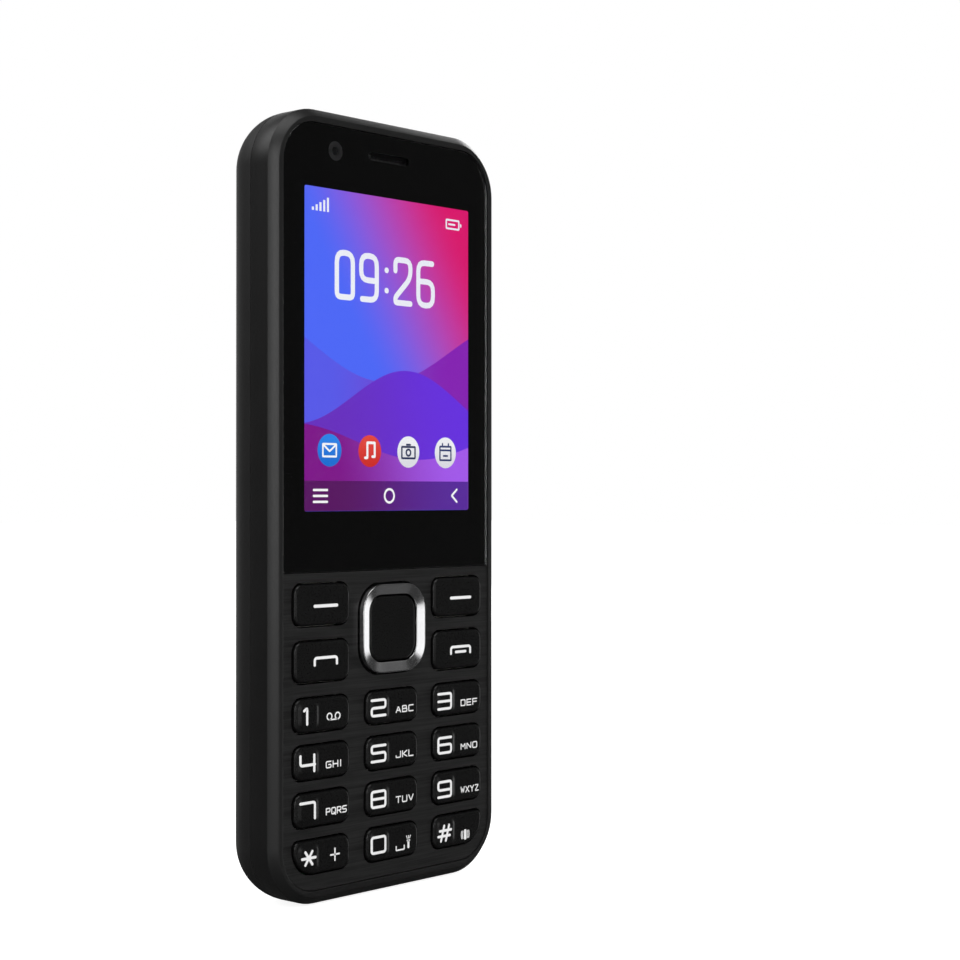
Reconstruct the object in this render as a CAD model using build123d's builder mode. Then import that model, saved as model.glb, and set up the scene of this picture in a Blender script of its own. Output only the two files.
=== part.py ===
"""Bar mobile phone with a number keypad, modelled piece by piece.

Millimetres. The phone stands upright: X to the right and Z up as seen from the front, the screen
facing -Y. Depths are counted backwards from the front lip of the housing.
"""
import os

from build123d import *

os.makedirs("parts", exist_ok=True)

# Walls, edges and clearances
front_chamfer = 1.2
lip_w = 0.9
housing_wall = 1.3
plate_t = 1.0
cover_wall = 1.2
cover_straight = 0.2
corner_extra = 0.9
chassis_gap = 0.3
chassis_wall = 1.0
clip_l = 5.0
clip_t = 0.9
clip_reach = 0.5
parting_gap = 0.08
panel_gap = 0.06
board_gap = 0.3
small_gap = 0.15
press_gap = 0.05

# Screen lens and keypad fascia, both let into the front of the housing
panel_t = 1.0
panel_sink = 0.15
panel_corner_r = 6.5
lens_side = 4.39
lens_chin = 9.24
lens_brow = 9.9
earpiece_w = 9.0
earpiece_h = 1.2
earpiece_rise = 6.0
mesh_t = 0.5
mesh_pitch = 0.7
mesh_hole_r = 0.2
mesh_holes = 11
front_camera_x = -12.1
front_camera_r = 2.1
front_lens_r = 1.2
camera_base_w = 5.0
receiver_w = 11.0
receiver_h = 5.4

# Display
active_w = 36.72
active_h = 48.96
glass_side = 1.8
glass_top = 1.7
glass_foot = 4.9
glass_t = 1.65
glass_gap = 0.15
tray_wall = 0.7
tray_floor = 1.05
ribbon_w = 12.0
ribbon_l = 3.2
ribbon_t = 0.15

# Keypad
number_rows = 4
key_w = 11.4
number_h = 5.1
call_h = 6.15
soft_h = 6.25
col_gap = 3.65
row_gap = 2.0
side_gap = 2.375
split_gap = 1.75
key_margin = 2.0
key_r = 1.6
key_gap = 0.25
key_proud = 0.3
key_edge = 0.25
key_travel = 0.35
block_r = 4.0
pad_w = 5.1
pad_rise = 0.2
pad_inset = 0.35
flange_w = 3.4
flange_t = 0.4
flange_grip = 0.35
flange_gap = 0.05
plunger_r = 1.5

# Navigation ring and its centre key
ok_w = 10.5
ok_r = 3.2
ok_proud = 0.35
ok_ledge = 0.75
ring_band = 1.55
ring_proud = 0.8
ring_bevel = 0.55
ring_gap = 0.3
ring_tilt_room = 0.36
rocker_rim = 1.05
rocker_t = 0.2
ridge_w = 2.0
stem_r = 1.2

# Board stack
board_t = 1.0
mat_t = 0.4
dome_r = 2.0
dome_h = 0.15
film_t = 0.1

# Fasteners
screw_r = 0.6
screw_head_r = 1.0
screw_head_t = 0.7
screw_head_gap = 0.5
boss_r = 1.2
seat_t = 1.2
screw_side = 2.65
screw_top = 5.3
screw_split = 0.9
foot_screw_z = 3.6

# Battery and what lies under it
battery_w = 34.0
battery_h = 53.0
battery_t = 5.0
battery_gap = 0.3
battery_tuck = 0.45
bay_floor_t = 0.6
socket_t = 1.4
socket_floor = 0.3
socket_slot = 0.8
socket_rim = 1.2
socket_gap = 2.5
sim_w = 15.0
sim_h = 17.0
sim_apart = 2.2
card_w = 14.0
card_h = 15.0
can_w = 16.0
can_h = 12.0
can_apart = 3.0
contact_w = 9.0
contact_h = 3.0
contact_gap = 2.04
contact_reach = 0.5
blade_w = 1.0
blade_t = 0.5
blade_pitch = 2.6

# Rear fittings
bezel_x = -8.3
bezel_w = 16.8
bezel_h = 9.2
bezel_rim = 1.0
bezel_bevel = 0.35
bezel_proud = 0.3
bezel_gap = 0.15
bezel_seat = 0.6
lens_spread = 3.85
rear_lens_r = 1.6
rear_barrel_r = 2.8
rear_module_w = 8.0
rear_module_t = 4.0
flash_r = 1.65
flash_w = 3.4
disc_x = 11.75
disc_r = 3.7
disc_hole_r = 4.6
disc_sink = 0.9
disc_t = 0.8
speaker_r = 6.2
speaker_t = 3.0
speaker_gap = 0.5

# Sockets and small inner parts
jack_x = 12.5
jack_r = 2.7
jack_bore_r = 1.8
jack_l = 11.5
jack_sink = 3.0
jack_neck = 2.5
jack_end = 0.8
jack_port_r = 2.1
usb_w = 7.6
usb_h = 2.6
usb_l = 4.2
usb_sink = 0.3
usb_gap = 0.3
usb_wall = 0.3
tongue_t = 0.6
motor_x = -12.0
motor_drop = 12.0
motor_r = 2.0
motor_l = 8.0
boot_l = 5.0
boot_wall = 0.4
weight_r = 2.4
weight_l = 3.0
weight_gap = 0.5
hub_r = 0.9
shaft_r = 0.4
shaft_gap = 0.05
shaft_end = 0.3
notch_x = 11.3
notch_r = 1.5
mic_w = 3.6
mic_h = 2.8
mic_t = 1.1
mic_hole_r = 0.4
mic_rise = 5.2
slot_l = 5.8
slot_in = 1.6
slot_h = 1.1
antenna_w = 26.0
antenna_h = 8.0
antenna_t = 0.3
antenna_rise = 3.7
antenna_slit = 15.6

# Depths, from the front lip backwards
recess_d = panel_sink + panel_t
plate_back = recess_d + plate_t
glass_d = recess_d + glass_gap
tray_d = glass_d + small_gap
board_d = glass_d + glass_t + tray_floor
board_back = board_d + board_t
band_d = board_back
phone_t = board_back + socket_t + bay_floor_t + battery_t + chassis_gap + cover_wall
cover_d = phone_t - band_d
cover_round = cover_d - cover_straight
corner_r = cover_round + corner_extra
depth_mid = (phone_t + bezel_proud - ring_proud) / 2
dome_top_d = board_d - film_t - dome_h
mat_d = dome_top_d - mat_t
flange_d = plate_back + flange_gap
plunger_end = mat_d - key_travel - press_gap
ledge_d = recess_d
ring_flange_d = plate_back + ring_tilt_room
ring_back = ring_flange_d + flange_t
rocker_d = ring_back + ring_tilt_room
ok_flange_d = ledge_d + ring_tilt_room
chassis_d = board_back + press_gap
cover_inside = phone_t - cover_wall
chassis_back = cover_inside - chassis_gap
bay_floor_d = chassis_back - battery_t
can_t = bay_floor_d - bay_floor_t - board_back - small_gap
seat_d = chassis_d + seat_t
disc_top_d = phone_t - disc_sink
speaker_d = disc_top_d - disc_t - speaker_t
bezel_d = cover_inside - bezel_seat
window_d = phone_t - panel_t
motor_d = board_back + weight_r + small_gap
usb_d = board_back - press_gap - usb_h
jack_d = board_d + small_gap + jack_r

# Widths and heights, from the foot upwards
edge_w = front_chamfer + lip_w
col_pitch = key_w + col_gap
row_pitch = number_h + row_gap
keypad_w = 2 * col_pitch + key_w
body_w = max(keypad_w + 2 * (key_margin + edge_w), active_w + 2 * (lens_side + edge_w),
             battery_w + 2 * (cover_round - battery_tuck))
number_low_z = usb_sink + usb_l + usb_gap + number_h / 2
number_top_z = number_low_z + (number_rows - 1) * row_pitch
call_z = number_top_z + number_h / 2 + side_gap + call_h / 2
soft_z = call_z + call_h / 2 + side_gap + soft_h / 2
nav_z = (call_z + soft_z) / 2
panel_split_z = soft_z + soft_h / 2 + split_gap
active_top_z = panel_split_z + lens_chin + active_h
top_bar_z = active_top_z + earpiece_rise
body_h = active_top_z + lens_brow + edge_w
mid_z = body_h / 2
panel_w = body_w - 2 * edge_w
panel_h = body_h - 2 * edge_w
cavity_w = body_w - 2 * housing_wall
cavity_h = body_h - 2 * housing_wall
cavity_r = corner_r - housing_wall
glass_w = active_w + 2 * glass_side
glass_h = active_h + glass_top + glass_foot
glass_z = active_top_z + glass_top - glass_h / 2
tray_w = glass_w + 2 * tray_wall
tray_h = glass_h + 2 * tray_wall
ring_w = ok_w + 2 * (key_gap + ring_band)
ring_r = ok_r + key_gap + ring_band * 0.8
rocker_w = ring_w - 2 * rocker_rim
jack_top_z = body_h - jack_sink
optics_z = jack_top_z - jack_l - speaker_gap - speaker_r
contact_z = optics_z - speaker_r - panel_gap - chassis_wall - contact_gap - contact_h / 2
bay_top_z = contact_z - contact_h / 2 - contact_reach
battery_low_z = bay_top_z - battery_gap - battery_h
bay_z = battery_low_z + battery_h / 2
sim_x = (sim_w + sim_apart) / 2
sim_z = bay_top_z - socket_gap - battery_gap - sim_h / 2
card_z = sim_z - sim_h / 2 - socket_gap - card_h / 2
can_x = (can_w + can_apart) / 2
can_z = card_z - card_h / 2 - socket_gap - can_h / 2
motor_z = battery_low_z - motor_drop
antenna_z = cover_round + antenna_rise + antenna_h / 2
rear_lens_x = bezel_x - lens_spread
flash_x = bezel_x + lens_spread
mic_x = notch_x + notch_r
mat_low_z = usb_sink + usb_l + small_gap
mat_top_z = panel_split_z - key_gap - screw_split
side_screw_x = body_w / 2 - screw_side
screw_spots = [(side * x, z) for side in (-1, 1) for x, z in (
    (body_w / 2 - screw_top, body_h - screw_top), (side_screw_x, panel_split_z + screw_split),
    (side_screw_x, number_top_z - row_pitch / 2), (col_pitch / 2, foot_screw_z))]
clip_spots = [(side * (body_w / 2 - cover_wall), z) for side in (-1, 1)
              for z in (battery_low_z + clip_l, sim_z - sim_h / 2, contact_z)]


def at(depth):
    """Sketch plane at a depth behind the front lip, drawn in X and Z; minus amounts go backwards."""
    return Plane.XZ.offset(depth_mid - depth)


def number_outline(index, grow):
    """Outline of one number key, grown by a gap. The lowest outer corners follow the keypad's rounding."""
    block_h = (number_rows - 1) * row_pitch + number_h
    block_z = number_top_z - (number_rows - 1) * row_pitch / 2
    with BuildSketch() as outline:
        with Locations(((index % 3 - 1) * col_pitch, number_top_z - index // 3 * row_pitch)):
            RectangleRounded(key_w + 2 * grow, number_h + 2 * grow, key_r + grow)
        with Locations((0, block_z + number_h)):
            RectangleRounded(keypad_w + 2 * grow, block_h + 2 * (number_h + grow), block_r + grow,
                             mode=Mode.INTERSECT)
    return outline.sketch


def side_outline(side, z, height, grow):
    """Outline of a key beside the navigation ring, grown by a gap."""
    with BuildSketch() as outline:
        with Locations((side * col_pitch, z)):
            RectangleRounded(key_w + 2 * grow, height + 2 * grow, key_r + grow)
    return outline.sketch


def key_openings(grow):
    """All key openings and the ring opening, grown by a gap, added to the sketch in hand."""
    for index in range(3 * number_rows):
        add(number_outline(index, key_gap + grow))
    for side in (-1, 1):
        add(side_outline(side, soft_z, soft_h, key_gap + grow))
        add(side_outline(side, call_z, call_h, key_gap + grow))
    with Locations((0, nav_z)):
        RectangleRounded(ring_w + 2 * (ring_gap + grow), ring_w + 2 * (ring_gap + grow), ring_r + ring_gap + grow)


def keep(builder, name):
    """Label a finished piece and write it under its own name."""
    builder.part.label = name
    export_step(builder.part, f"parts/{name}.step")


# Front housing: a moulded frame with a chamfered front edge, a sunken front plate that carries the
# lens and the fascia, and screw bosses behind it.
with BuildPart() as front_housing:
    with BuildSketch(at(0)):
        with Locations((0, mid_z)):
            RectangleRounded(body_w, body_h, corner_r)
    extrude(amount=-band_d)
    chamfer(front_housing.faces().sort_by(Axis.Y)[0].edges(), front_chamfer)
    with BuildSketch(at(0)):
        with Locations((0, mid_z)):
            RectangleRounded(panel_w, panel_h, panel_corner_r)
    extrude(amount=-recess_d, mode=Mode.SUBTRACT)
    with BuildSketch(at(plate_back)):
        with Locations((0, mid_z)):
            RectangleRounded(cavity_w, cavity_h, cavity_r)
    extrude(amount=plate_back - band_d, mode=Mode.SUBTRACT)
    with BuildSketch(at(recess_d)):
        with Locations((0, glass_z)):
            RectangleRounded(tray_w + 2 * small_gap, tray_h + 2 * small_gap, tray_wall + small_gap)
        with Locations((0, top_bar_z)):
            SlotOverall(earpiece_w, earpiece_h)
        with Locations((front_camera_x, top_bar_z)):
            Circle(front_camera_r + small_gap)
        key_openings(small_gap)
    extrude(amount=-plate_t, mode=Mode.SUBTRACT)
    with BuildSketch(at(plate_back)):
        with Locations(*screw_spots):
            Circle(boss_r)
    extrude(amount=plate_back - board_d)
    with BuildSketch(at(board_d)):
        with Locations(*screw_spots):
            Circle(screw_r)
    extrude(amount=board_d - plate_back, mode=Mode.SUBTRACT)
    with BuildSketch(Plane.XY):
        with Locations((0, usb_d + usb_h / 2 - depth_mid)):
            RectangleRounded(usb_w + 2 * small_gap, usb_h + 2 * small_gap, usb_h / 3)
    extrude(amount=housing_wall, mode=Mode.SUBTRACT)
    with BuildSketch(Plane.XY.offset(body_h)):
        with Locations((jack_x, jack_d - depth_mid)):
            Circle(jack_port_r)
    extrude(amount=-housing_wall, mode=Mode.SUBTRACT)
keep(front_housing, "front_housing")

# Keypad fascia: a thin brushed plate bonded into the lower part of the recess.
with BuildPart() as keypad_fascia:
    with BuildSketch(at(panel_sink)):
        with Locations((0, mid_z)):
            RectangleRounded(panel_w - 2 * panel_gap, panel_h - 2 * panel_gap, panel_corner_r - panel_gap)
        with Locations((0, panel_split_z - panel_gap)):
            Rectangle(panel_w, body_h, align=(Align.CENTER, Align.MIN), mode=Mode.SUBTRACT)
    extrude(amount=-panel_t)
    with BuildSketch(at(panel_sink)):
        key_openings(0)
    extrude(amount=-panel_t, mode=Mode.SUBTRACT)
keep(keypad_fascia, "keypad_fascia")

# Screen lens: a clear hard-coated sheet with the earpiece slot cut through it.
with BuildPart() as screen_lens:
    with BuildSketch(at(panel_sink)):
        with Locations((0, mid_z)):
            RectangleRounded(panel_w - 2 * panel_gap, panel_h - 2 * panel_gap, panel_corner_r - panel_gap)
        with Locations((0, panel_split_z)):
            Rectangle(panel_w, body_h, align=(Align.CENTER, Align.MAX), mode=Mode.SUBTRACT)
        with Locations((0, top_bar_z)):
            SlotOverall(earpiece_w, earpiece_h, mode=Mode.SUBTRACT)
    extrude(amount=-panel_t)
keep(screen_lens, "screen_lens")

# Earpiece mesh: a pierced strip that fills the slot in the lens.
with BuildPart() as earpiece_mesh:
    with BuildSketch(at(recess_d - mesh_t)):
        with Locations((0, top_bar_z)):
            SlotOverall(earpiece_w - 2 * panel_gap, earpiece_h - 2 * panel_gap)
            with GridLocations(mesh_pitch, 1, mesh_holes, 1):
                Circle(mesh_hole_r, mode=Mode.SUBTRACT)
    extrude(amount=-mesh_t)
keep(earpiece_mesh, "earpiece_mesh")

# Display: a glass panel in a moulded backlight tray that lies against the board.
with BuildPart() as display_panel:
    with BuildSketch(at(glass_d)):
        with Locations((0, glass_z)):
            Rectangle(glass_w, glass_h)
    extrude(amount=-glass_t)
keep(display_panel, "display_panel")

with BuildPart() as display_tray:
    with BuildSketch(at(tray_d)):
        with Locations((0, glass_z)):
            RectangleRounded(tray_w, tray_h, tray_wall)
    extrude(amount=tray_d - board_d)
    with BuildSketch(at(tray_d)):
        with Locations((0, glass_z)):
            Rectangle(glass_w + 2 * panel_gap, glass_h + 2 * panel_gap)
    extrude(amount=tray_d - glass_d - glass_t, mode=Mode.SUBTRACT)
keep(display_tray, "display_tray")

# Display ribbon: a short flat cable laid from the foot of the tray onto the board.
with BuildPart() as display_ribbon:
    with BuildSketch(at(board_d - ribbon_t)):
        with Locations((0, glass_z - tray_h / 2 - ribbon_l / 2)):
            Rectangle(ribbon_w, ribbon_l)
            Rectangle(ribbon_w + ribbon_l, ribbon_l / 2, align=(Align.CENTER, Align.MAX))
    extrude(amount=-ribbon_t)
keep(display_ribbon, "display_ribbon")

# Front camera and earpiece receiver, both seated on the board behind the lens.
with BuildPart() as front_camera:
    with BuildSketch(at(glass_d)):
        with Locations((front_camera_x, top_bar_z)):
            Circle(front_camera_r)
    extrude(amount=glass_d - board_d)
    with BuildSketch(at(plate_back + small_gap)):
        with Locations((front_camera_x, top_bar_z)):
            Rectangle(camera_base_w, camera_base_w)
    extrude(amount=plate_back + small_gap - board_d)
    with BuildSketch(at(glass_d)):
        with Locations((front_camera_x, top_bar_z)):
            Circle(front_lens_r)
    extrude(amount=-front_lens_r / 3, mode=Mode.SUBTRACT, taper=25)
keep(front_camera, "front_camera")

with BuildPart() as earpiece_receiver:
    with BuildSketch(at(plate_back + press_gap)):
        with Locations((0, top_bar_z)):
            SlotOverall(receiver_w, receiver_h)
    extrude(amount=plate_back + press_gap - board_d)
    chamfer(earpiece_receiver.faces().sort_by(Axis.Y)[0].edges(), key_edge)
keep(earpiece_receiver, "earpiece_receiver")

# Number keys: moulded caps with a softly raised digit pad, a retaining flange above and below the
# opening and a plunger that meets the keymat. The lowest row is held from above only, clear of the
# charging socket.
flange_half = number_h / 2 + key_gap + flange_grip
number_names = [f"key_{digit}" for digit in range(1, 10)] + ["key_star", "key_0", "key_hash"]
for index, name in enumerate(number_names):
    key_x = (index % 3 - 1) * col_pitch
    key_z = number_top_z - index // 3 * row_pitch
    with BuildPart() as number_key:
        with BuildSketch(at(-key_proud)):
            add(number_outline(index, 0))
        extrude(amount=-(key_proud + flange_d))
        chamfer(number_key.faces().sort_by(Axis.Y)[0].edges(), key_edge)
        with BuildSketch(at(-key_proud)):
            with Locations((key_x - key_w / 2 + key_edge + pad_inset + pad_w / 2, key_z)):
                RectangleRounded(pad_w, number_h - 2 * (key_edge + pad_inset), key_r - pad_inset - key_edge)
        extrude(amount=pad_rise, taper=45)
        with BuildSketch(at(flange_d)):
            with Locations((key_x, key_z)):
                RectangleRounded(key_w - key_r, number_h - key_r, key_r / 2)
                Rectangle(flange_w, flange_half, align=(Align.CENTER, Align.MIN))
                if index // 3 < number_rows - 1:
                    Rectangle(flange_w, flange_half, align=(Align.CENTER, Align.MAX))
        extrude(amount=-flange_t)
        with BuildSketch(at(flange_d + flange_t)):
            with Locations((key_x, key_z)):
                Circle(plunger_r)
        extrude(amount=flange_d + flange_t - plunger_end)
    keep(number_key, name)

# Soft keys and the call and end keys beside the ring, made the same way without a digit pad.
side_keys = [("soft_key_left", -1, soft_z, soft_h), ("soft_key_right", 1, soft_z, soft_h),
             ("call_key", -1, call_z, call_h), ("end_key", 1, call_z, call_h)]
for name, side, key_z, key_h in side_keys:
    with BuildPart() as side_key:
        with BuildSketch(at(-key_proud)):
            add(side_outline(side, key_z, key_h, 0))
        extrude(amount=-(key_proud + flange_d))
        chamfer(side_key.faces().sort_by(Axis.Y)[0].edges(), key_edge)
        with BuildSketch(at(flange_d)):
            with Locations((side * col_pitch, key_z)):
                Rectangle(flange_w, key_h + 2 * (key_gap + flange_grip))
                RectangleRounded(key_w - key_r, key_h - key_r, key_r / 2)
        extrude(amount=-flange_t)
        with BuildSketch(at(flange_d + flange_t)):
            with Locations((side * col_pitch, key_z)):
                Circle(plunger_r)
        extrude(amount=flange_d + flange_t - plunger_end)
    keep(side_key, name)

# Navigation ring: a bevelled metal-look frame with a ledge inside that keeps the centre key, and a
# flange behind the plate with room to rock.
with BuildPart() as nav_ring:
    with BuildSketch(at(-ring_proud)):
        with Locations((0, nav_z)):
            RectangleRounded(ring_w, ring_w, ring_r)
    extrude(amount=-(ring_proud + ring_back))
    chamfer(nav_ring.faces().sort_by(Axis.Y)[0].edges(), ring_bevel)
    with BuildSketch(at(ring_flange_d)):
        with Locations((0, nav_z)):
            RectangleRounded(ring_w + 2 * (ring_gap + flange_grip), ring_w + 2 * (ring_gap + flange_grip),
                             ring_r + ring_gap + flange_grip)
    extrude(amount=-flange_t)
    with BuildSketch(at(-ring_proud)):
        with Locations((0, nav_z)):
            RectangleRounded(ok_w + 2 * key_gap, ok_w + 2 * key_gap, ok_r + key_gap)
    extrude(amount=-(ring_proud + ring_back), mode=Mode.SUBTRACT)
    inner_edges = nav_ring.faces().sort_by(Axis.Y)[0].inner_wires().edges()
    chamfer(inner_edges, ring_bevel)
    with BuildSketch(at(ledge_d)):
        with Locations((0, nav_z)):
            RectangleRounded(ok_w + 2 * (key_gap + ok_ledge), ok_w + 2 * (key_gap + ok_ledge),
                             ok_r + key_gap + ok_ledge)
    extrude(amount=ledge_d - ring_back, mode=Mode.SUBTRACT)
keep(nav_ring, "nav_ring")

# Navigation rocker: the springy plate under the ring. Its upright ridge lets the ring rock sideways,
# and the plate itself rocks up and down.
with BuildPart() as nav_rocker:
    with BuildSketch(at(rocker_d)):
        with Locations((0, nav_z)):
            RectangleRounded(rocker_w, rocker_w, ok_r)
    extrude(amount=-rocker_t)
    with BuildSketch(at(ring_back + flange_gap)):
        with Locations((0, nav_z)):
            Rectangle(ridge_w, ring_w)
    extrude(amount=ring_back + flange_gap - rocker_d)
    with BuildSketch(at(rocker_d + rocker_t)):
        with Locations((0, nav_z)):
            Circle(stem_r + 2 * key_gap)
    extrude(amount=rocker_d + rocker_t - ring_back, mode=Mode.SUBTRACT)
keep(nav_rocker, "nav_rocker")

# Centre key: a plain square cap held under the ring's ledge, with a stem down to its own dome.
with BuildPart() as ok_key:
    with BuildSketch(at(-ok_proud)):
        with Locations((0, nav_z)):
            RectangleRounded(ok_w, ok_w, ok_r)
    extrude(amount=-(ok_proud + ok_flange_d))
    chamfer(ok_key.faces().sort_by(Axis.Y)[0].edges(), key_edge)
    with BuildSketch(at(ok_flange_d)):
        with Locations((0, nav_z)):
            RectangleRounded(ok_w + ok_ledge, ok_w + ok_ledge, ok_r + ok_ledge / 2)
    extrude(amount=-flange_t)
    with BuildSketch(at(ok_flange_d + flange_t)):
        with Locations((0, nav_z)):
            Circle(stem_r)
    extrude(amount=ok_flange_d + flange_t - dome_top_d + key_travel + press_gap)
keep(ok_key, "ok_key")

# Keymat: one soft sheet behind all number and side keys, cut out round the ring and the bosses.
with BuildPart() as keymat:
    with BuildSketch(at(mat_d)):
        with Locations((0, mat_low_z)):
            Rectangle(cavity_w - 2 * board_gap, mat_top_z - mat_low_z, align=(Align.CENTER, Align.MIN))
        with Locations((0, nav_z)):
            RectangleRounded(ring_w + 2 * key_gap, ring_w + 2 * key_gap, ring_r, mode=Mode.SUBTRACT)
        with Locations(*screw_spots):
            Circle(boss_r + small_gap, mode=Mode.SUBTRACT)
        with Locations((0, mid_z)):
            RectangleRounded(cavity_w - 2 * board_gap, cavity_h - 2 * board_gap, cavity_r, mode=Mode.INTERSECT)
    extrude(amount=-mat_t)
keep(keymat, "keymat")

# Dome sheet: a thin film on the board with one snap dome under each key and four under the ring.
dome_spots = [((i % 3 - 1) * col_pitch, number_top_z - i // 3 * row_pitch) for i in range(3 * number_rows)]
dome_spots += [(side * col_pitch, z) for side in (-1, 1) for z in (soft_z, call_z)]
ring_reach = ring_w / 2 - dome_r
dome_spots += [(0, nav_z), (0, nav_z + ring_reach), (0, nav_z - ring_reach), (ring_reach, nav_z),
               (-ring_reach, nav_z)]
with BuildPart() as dome_sheet:
    with BuildSketch(at(board_d - film_t)):
        with Locations((0, mat_low_z)):
            Rectangle(cavity_w - 4 * board_gap, mat_top_z - mat_low_z, align=(Align.CENTER, Align.MIN))
        with Locations(*screw_spots):
            Circle(boss_r + small_gap, mode=Mode.SUBTRACT)
        with Locations((0, mid_z)):
            RectangleRounded(cavity_w - 4 * board_gap, cavity_h - 4 * board_gap, cavity_r, mode=Mode.INTERSECT)
    extrude(amount=-film_t)
    with BuildSketch(at(board_d - film_t)):
        with Locations(*dome_spots):
            Circle(dome_r)
    extrude(amount=dome_h, taper=60)
keep(dome_sheet, "dome_sheet")

# Main board: it fills the housing and is notched for the two sockets.
with BuildPart() as main_board:
    with BuildSketch(at(board_d)):
        with Locations((0, mid_z)):
            RectangleRounded(cavity_w - 2 * board_gap, cavity_h - 2 * board_gap, cavity_r - board_gap)
        with Locations((jack_x, body_h)):
            Rectangle(2 * (jack_r + small_gap), 2 * (jack_sink + jack_l + small_gap), mode=Mode.SUBTRACT)
        with Locations((0, 0)):
            Rectangle(usb_w + 2 * small_gap, 2 * (usb_sink + usb_l + small_gap), mode=Mode.SUBTRACT)
        with Locations(*screw_spots):
            Circle(screw_r + small_gap, mode=Mode.SUBTRACT)
    extrude(amount=-board_t)
keep(main_board, "main_board")

# Shield cans: two drawn covers soldered over the circuits, low on the back of the board.
with BuildPart() as shield_cans:
    with BuildSketch(at(board_back)):
        with Locations((-can_x, can_z), (can_x, can_z)):
            RectangleRounded(can_w, can_h, key_edge * 4)
    extrude(amount=-can_t)
    chamfer(shield_cans.faces().sort_by(Axis.Y)[-2:].edges(), key_edge)
keep(shield_cans, "shield_cans")

# Subscriber card and memory card sockets: pressed trays open towards the bay, under the battery.
with BuildPart() as sim_sockets:
    with BuildSketch(at(board_back)):
        with Locations((-sim_x, sim_z), (sim_x, sim_z)):
            Rectangle(sim_w, sim_h)
    extrude(amount=-socket_t)
    with BuildSketch(at(board_back + socket_floor)):
        with Locations((-sim_x, sim_z - socket_rim), (sim_x, sim_z - socket_rim)):
            Rectangle(sim_w - 2 * socket_rim, sim_h)
    extrude(amount=-socket_slot, mode=Mode.SUBTRACT)
    with BuildSketch(at(board_back + socket_floor)):
        with Locations((-sim_x, sim_z), (sim_x, sim_z)):
            Rectangle(sim_w - 4 * socket_rim, sim_h - 4 * socket_rim)
    extrude(amount=-socket_t, mode=Mode.SUBTRACT)
keep(sim_sockets, "sim_sockets")

with BuildPart() as card_socket:
    with BuildSketch(at(board_back)):
        with Locations((0, card_z)):
            Rectangle(card_w, card_h)
    extrude(amount=-socket_t)
    with BuildSketch(at(board_back + socket_floor)):
        with Locations((0, card_z - socket_rim)):
            Rectangle(card_w - 2 * socket_rim, card_h)
    extrude(amount=-socket_slot, mode=Mode.SUBTRACT)
keep(card_socket, "card_socket")

# Battery connector: a block in the head wall of the bay with three sprung blades.
with BuildPart() as battery_connector:
    with BuildSketch(at(board_back)):
        with Locations((0, contact_z)):
            Rectangle(contact_w, contact_h)
    extrude(amount=board_back - bay_floor_d - battery_t / 2)
    with BuildSketch(at(bay_floor_d + blade_w)):
        with Locations((0, bay_top_z + contact_reach / 2)):
            with GridLocations(blade_pitch, 1, 3, 1):
                Rectangle(blade_w, blade_t)
    extrude(amount=blade_w - battery_t / 2)
keep(battery_connector, "battery_connector")

# Charging socket at the foot: a pressed shell with the contact tongue inside.
with BuildPart() as usb_socket:
    with BuildSketch(Plane.XY.offset(usb_sink)):
        with Locations((0, usb_d + usb_h / 2 - depth_mid)):
            RectangleRounded(usb_w, usb_h, usb_h / 3)
    extrude(amount=usb_l)
    with BuildSketch(Plane.XY.offset(usb_sink)):
        with Locations((0, usb_d + usb_h / 2 - depth_mid)):
            RectangleRounded(usb_w - 2 * usb_wall, usb_h - 2 * usb_wall, usb_h / 3 - usb_wall)
    extrude(amount=usb_l - tongue_t, mode=Mode.SUBTRACT)
    with BuildSketch(Plane.XY.offset(usb_sink + tongue_t)):
        with Locations((0, usb_d + usb_h / 2 - depth_mid)):
            Rectangle(usb_w - usb_h, tongue_t)
    extrude(amount=usb_l - tongue_t)
keep(usb_socket, "usb_socket")

# Headphone socket: a moulded barrel let into the board's notch, its mouth behind the round port.
with BuildPart() as audio_jack:
    with BuildSketch(Plane.XY.offset(jack_top_z)):
        with Locations((jack_x, jack_d - depth_mid)):
            Circle(jack_r)
    extrude(amount=-jack_l)
    with BuildSketch(Plane.XY.offset(jack_top_z - jack_neck)):
        with Locations((jack_x, jack_d - depth_mid)):
            Rectangle(2 * jack_r, 2 * jack_r)
    extrude(amount=jack_neck - jack_l)
    with BuildSketch(Plane.XY.offset(jack_top_z)):
        with Locations((jack_x, jack_d - depth_mid)):
            Circle(jack_bore_r)
    extrude(amount=jack_end - jack_l, mode=Mode.SUBTRACT)
keep(audio_jack, "audio_jack")

# Microphone capsule on the board beside the small port in the foot of the cover.
with BuildPart() as microphone:
    with BuildSketch(at(board_back)):
        with Locations((mic_x, mic_rise)):
            RectangleRounded(mic_w, mic_h, key_edge)
    extrude(amount=-mic_t)
    with BuildSketch(at(board_back + mic_t)):
        with Locations((mic_x, mic_rise)):
            Circle(mic_hole_r)
    extrude(amount=mic_t / 2, mode=Mode.SUBTRACT)
keep(microphone, "microphone")

# Vibration motor: a can in a rubber boot on the board, and the half-round weight on its shaft.
axle = Plane.YZ.offset(motor_x)
with BuildPart() as vibration_motor:
    with BuildSketch(axle):
        with Locations((motor_d - depth_mid, motor_z)):
            Circle(motor_r)
    extrude(amount=motor_l / 2, both=True)
    with BuildSketch(axle):
        with Locations((board_back - depth_mid, motor_z)):
            Rectangle(motor_d - board_back + motor_r + boot_wall, 2 * (motor_r + boot_wall),
                      align=(Align.MIN, Align.CENTER))
    extrude(amount=boot_l / 2, both=True)
    with BuildSketch(axle):
        with Locations((motor_d - depth_mid, motor_z)):
            Circle(shaft_r + shaft_gap)
    extrude(amount=motor_l / 2, mode=Mode.SUBTRACT)
keep(vibration_motor, "vibration_motor")

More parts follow.
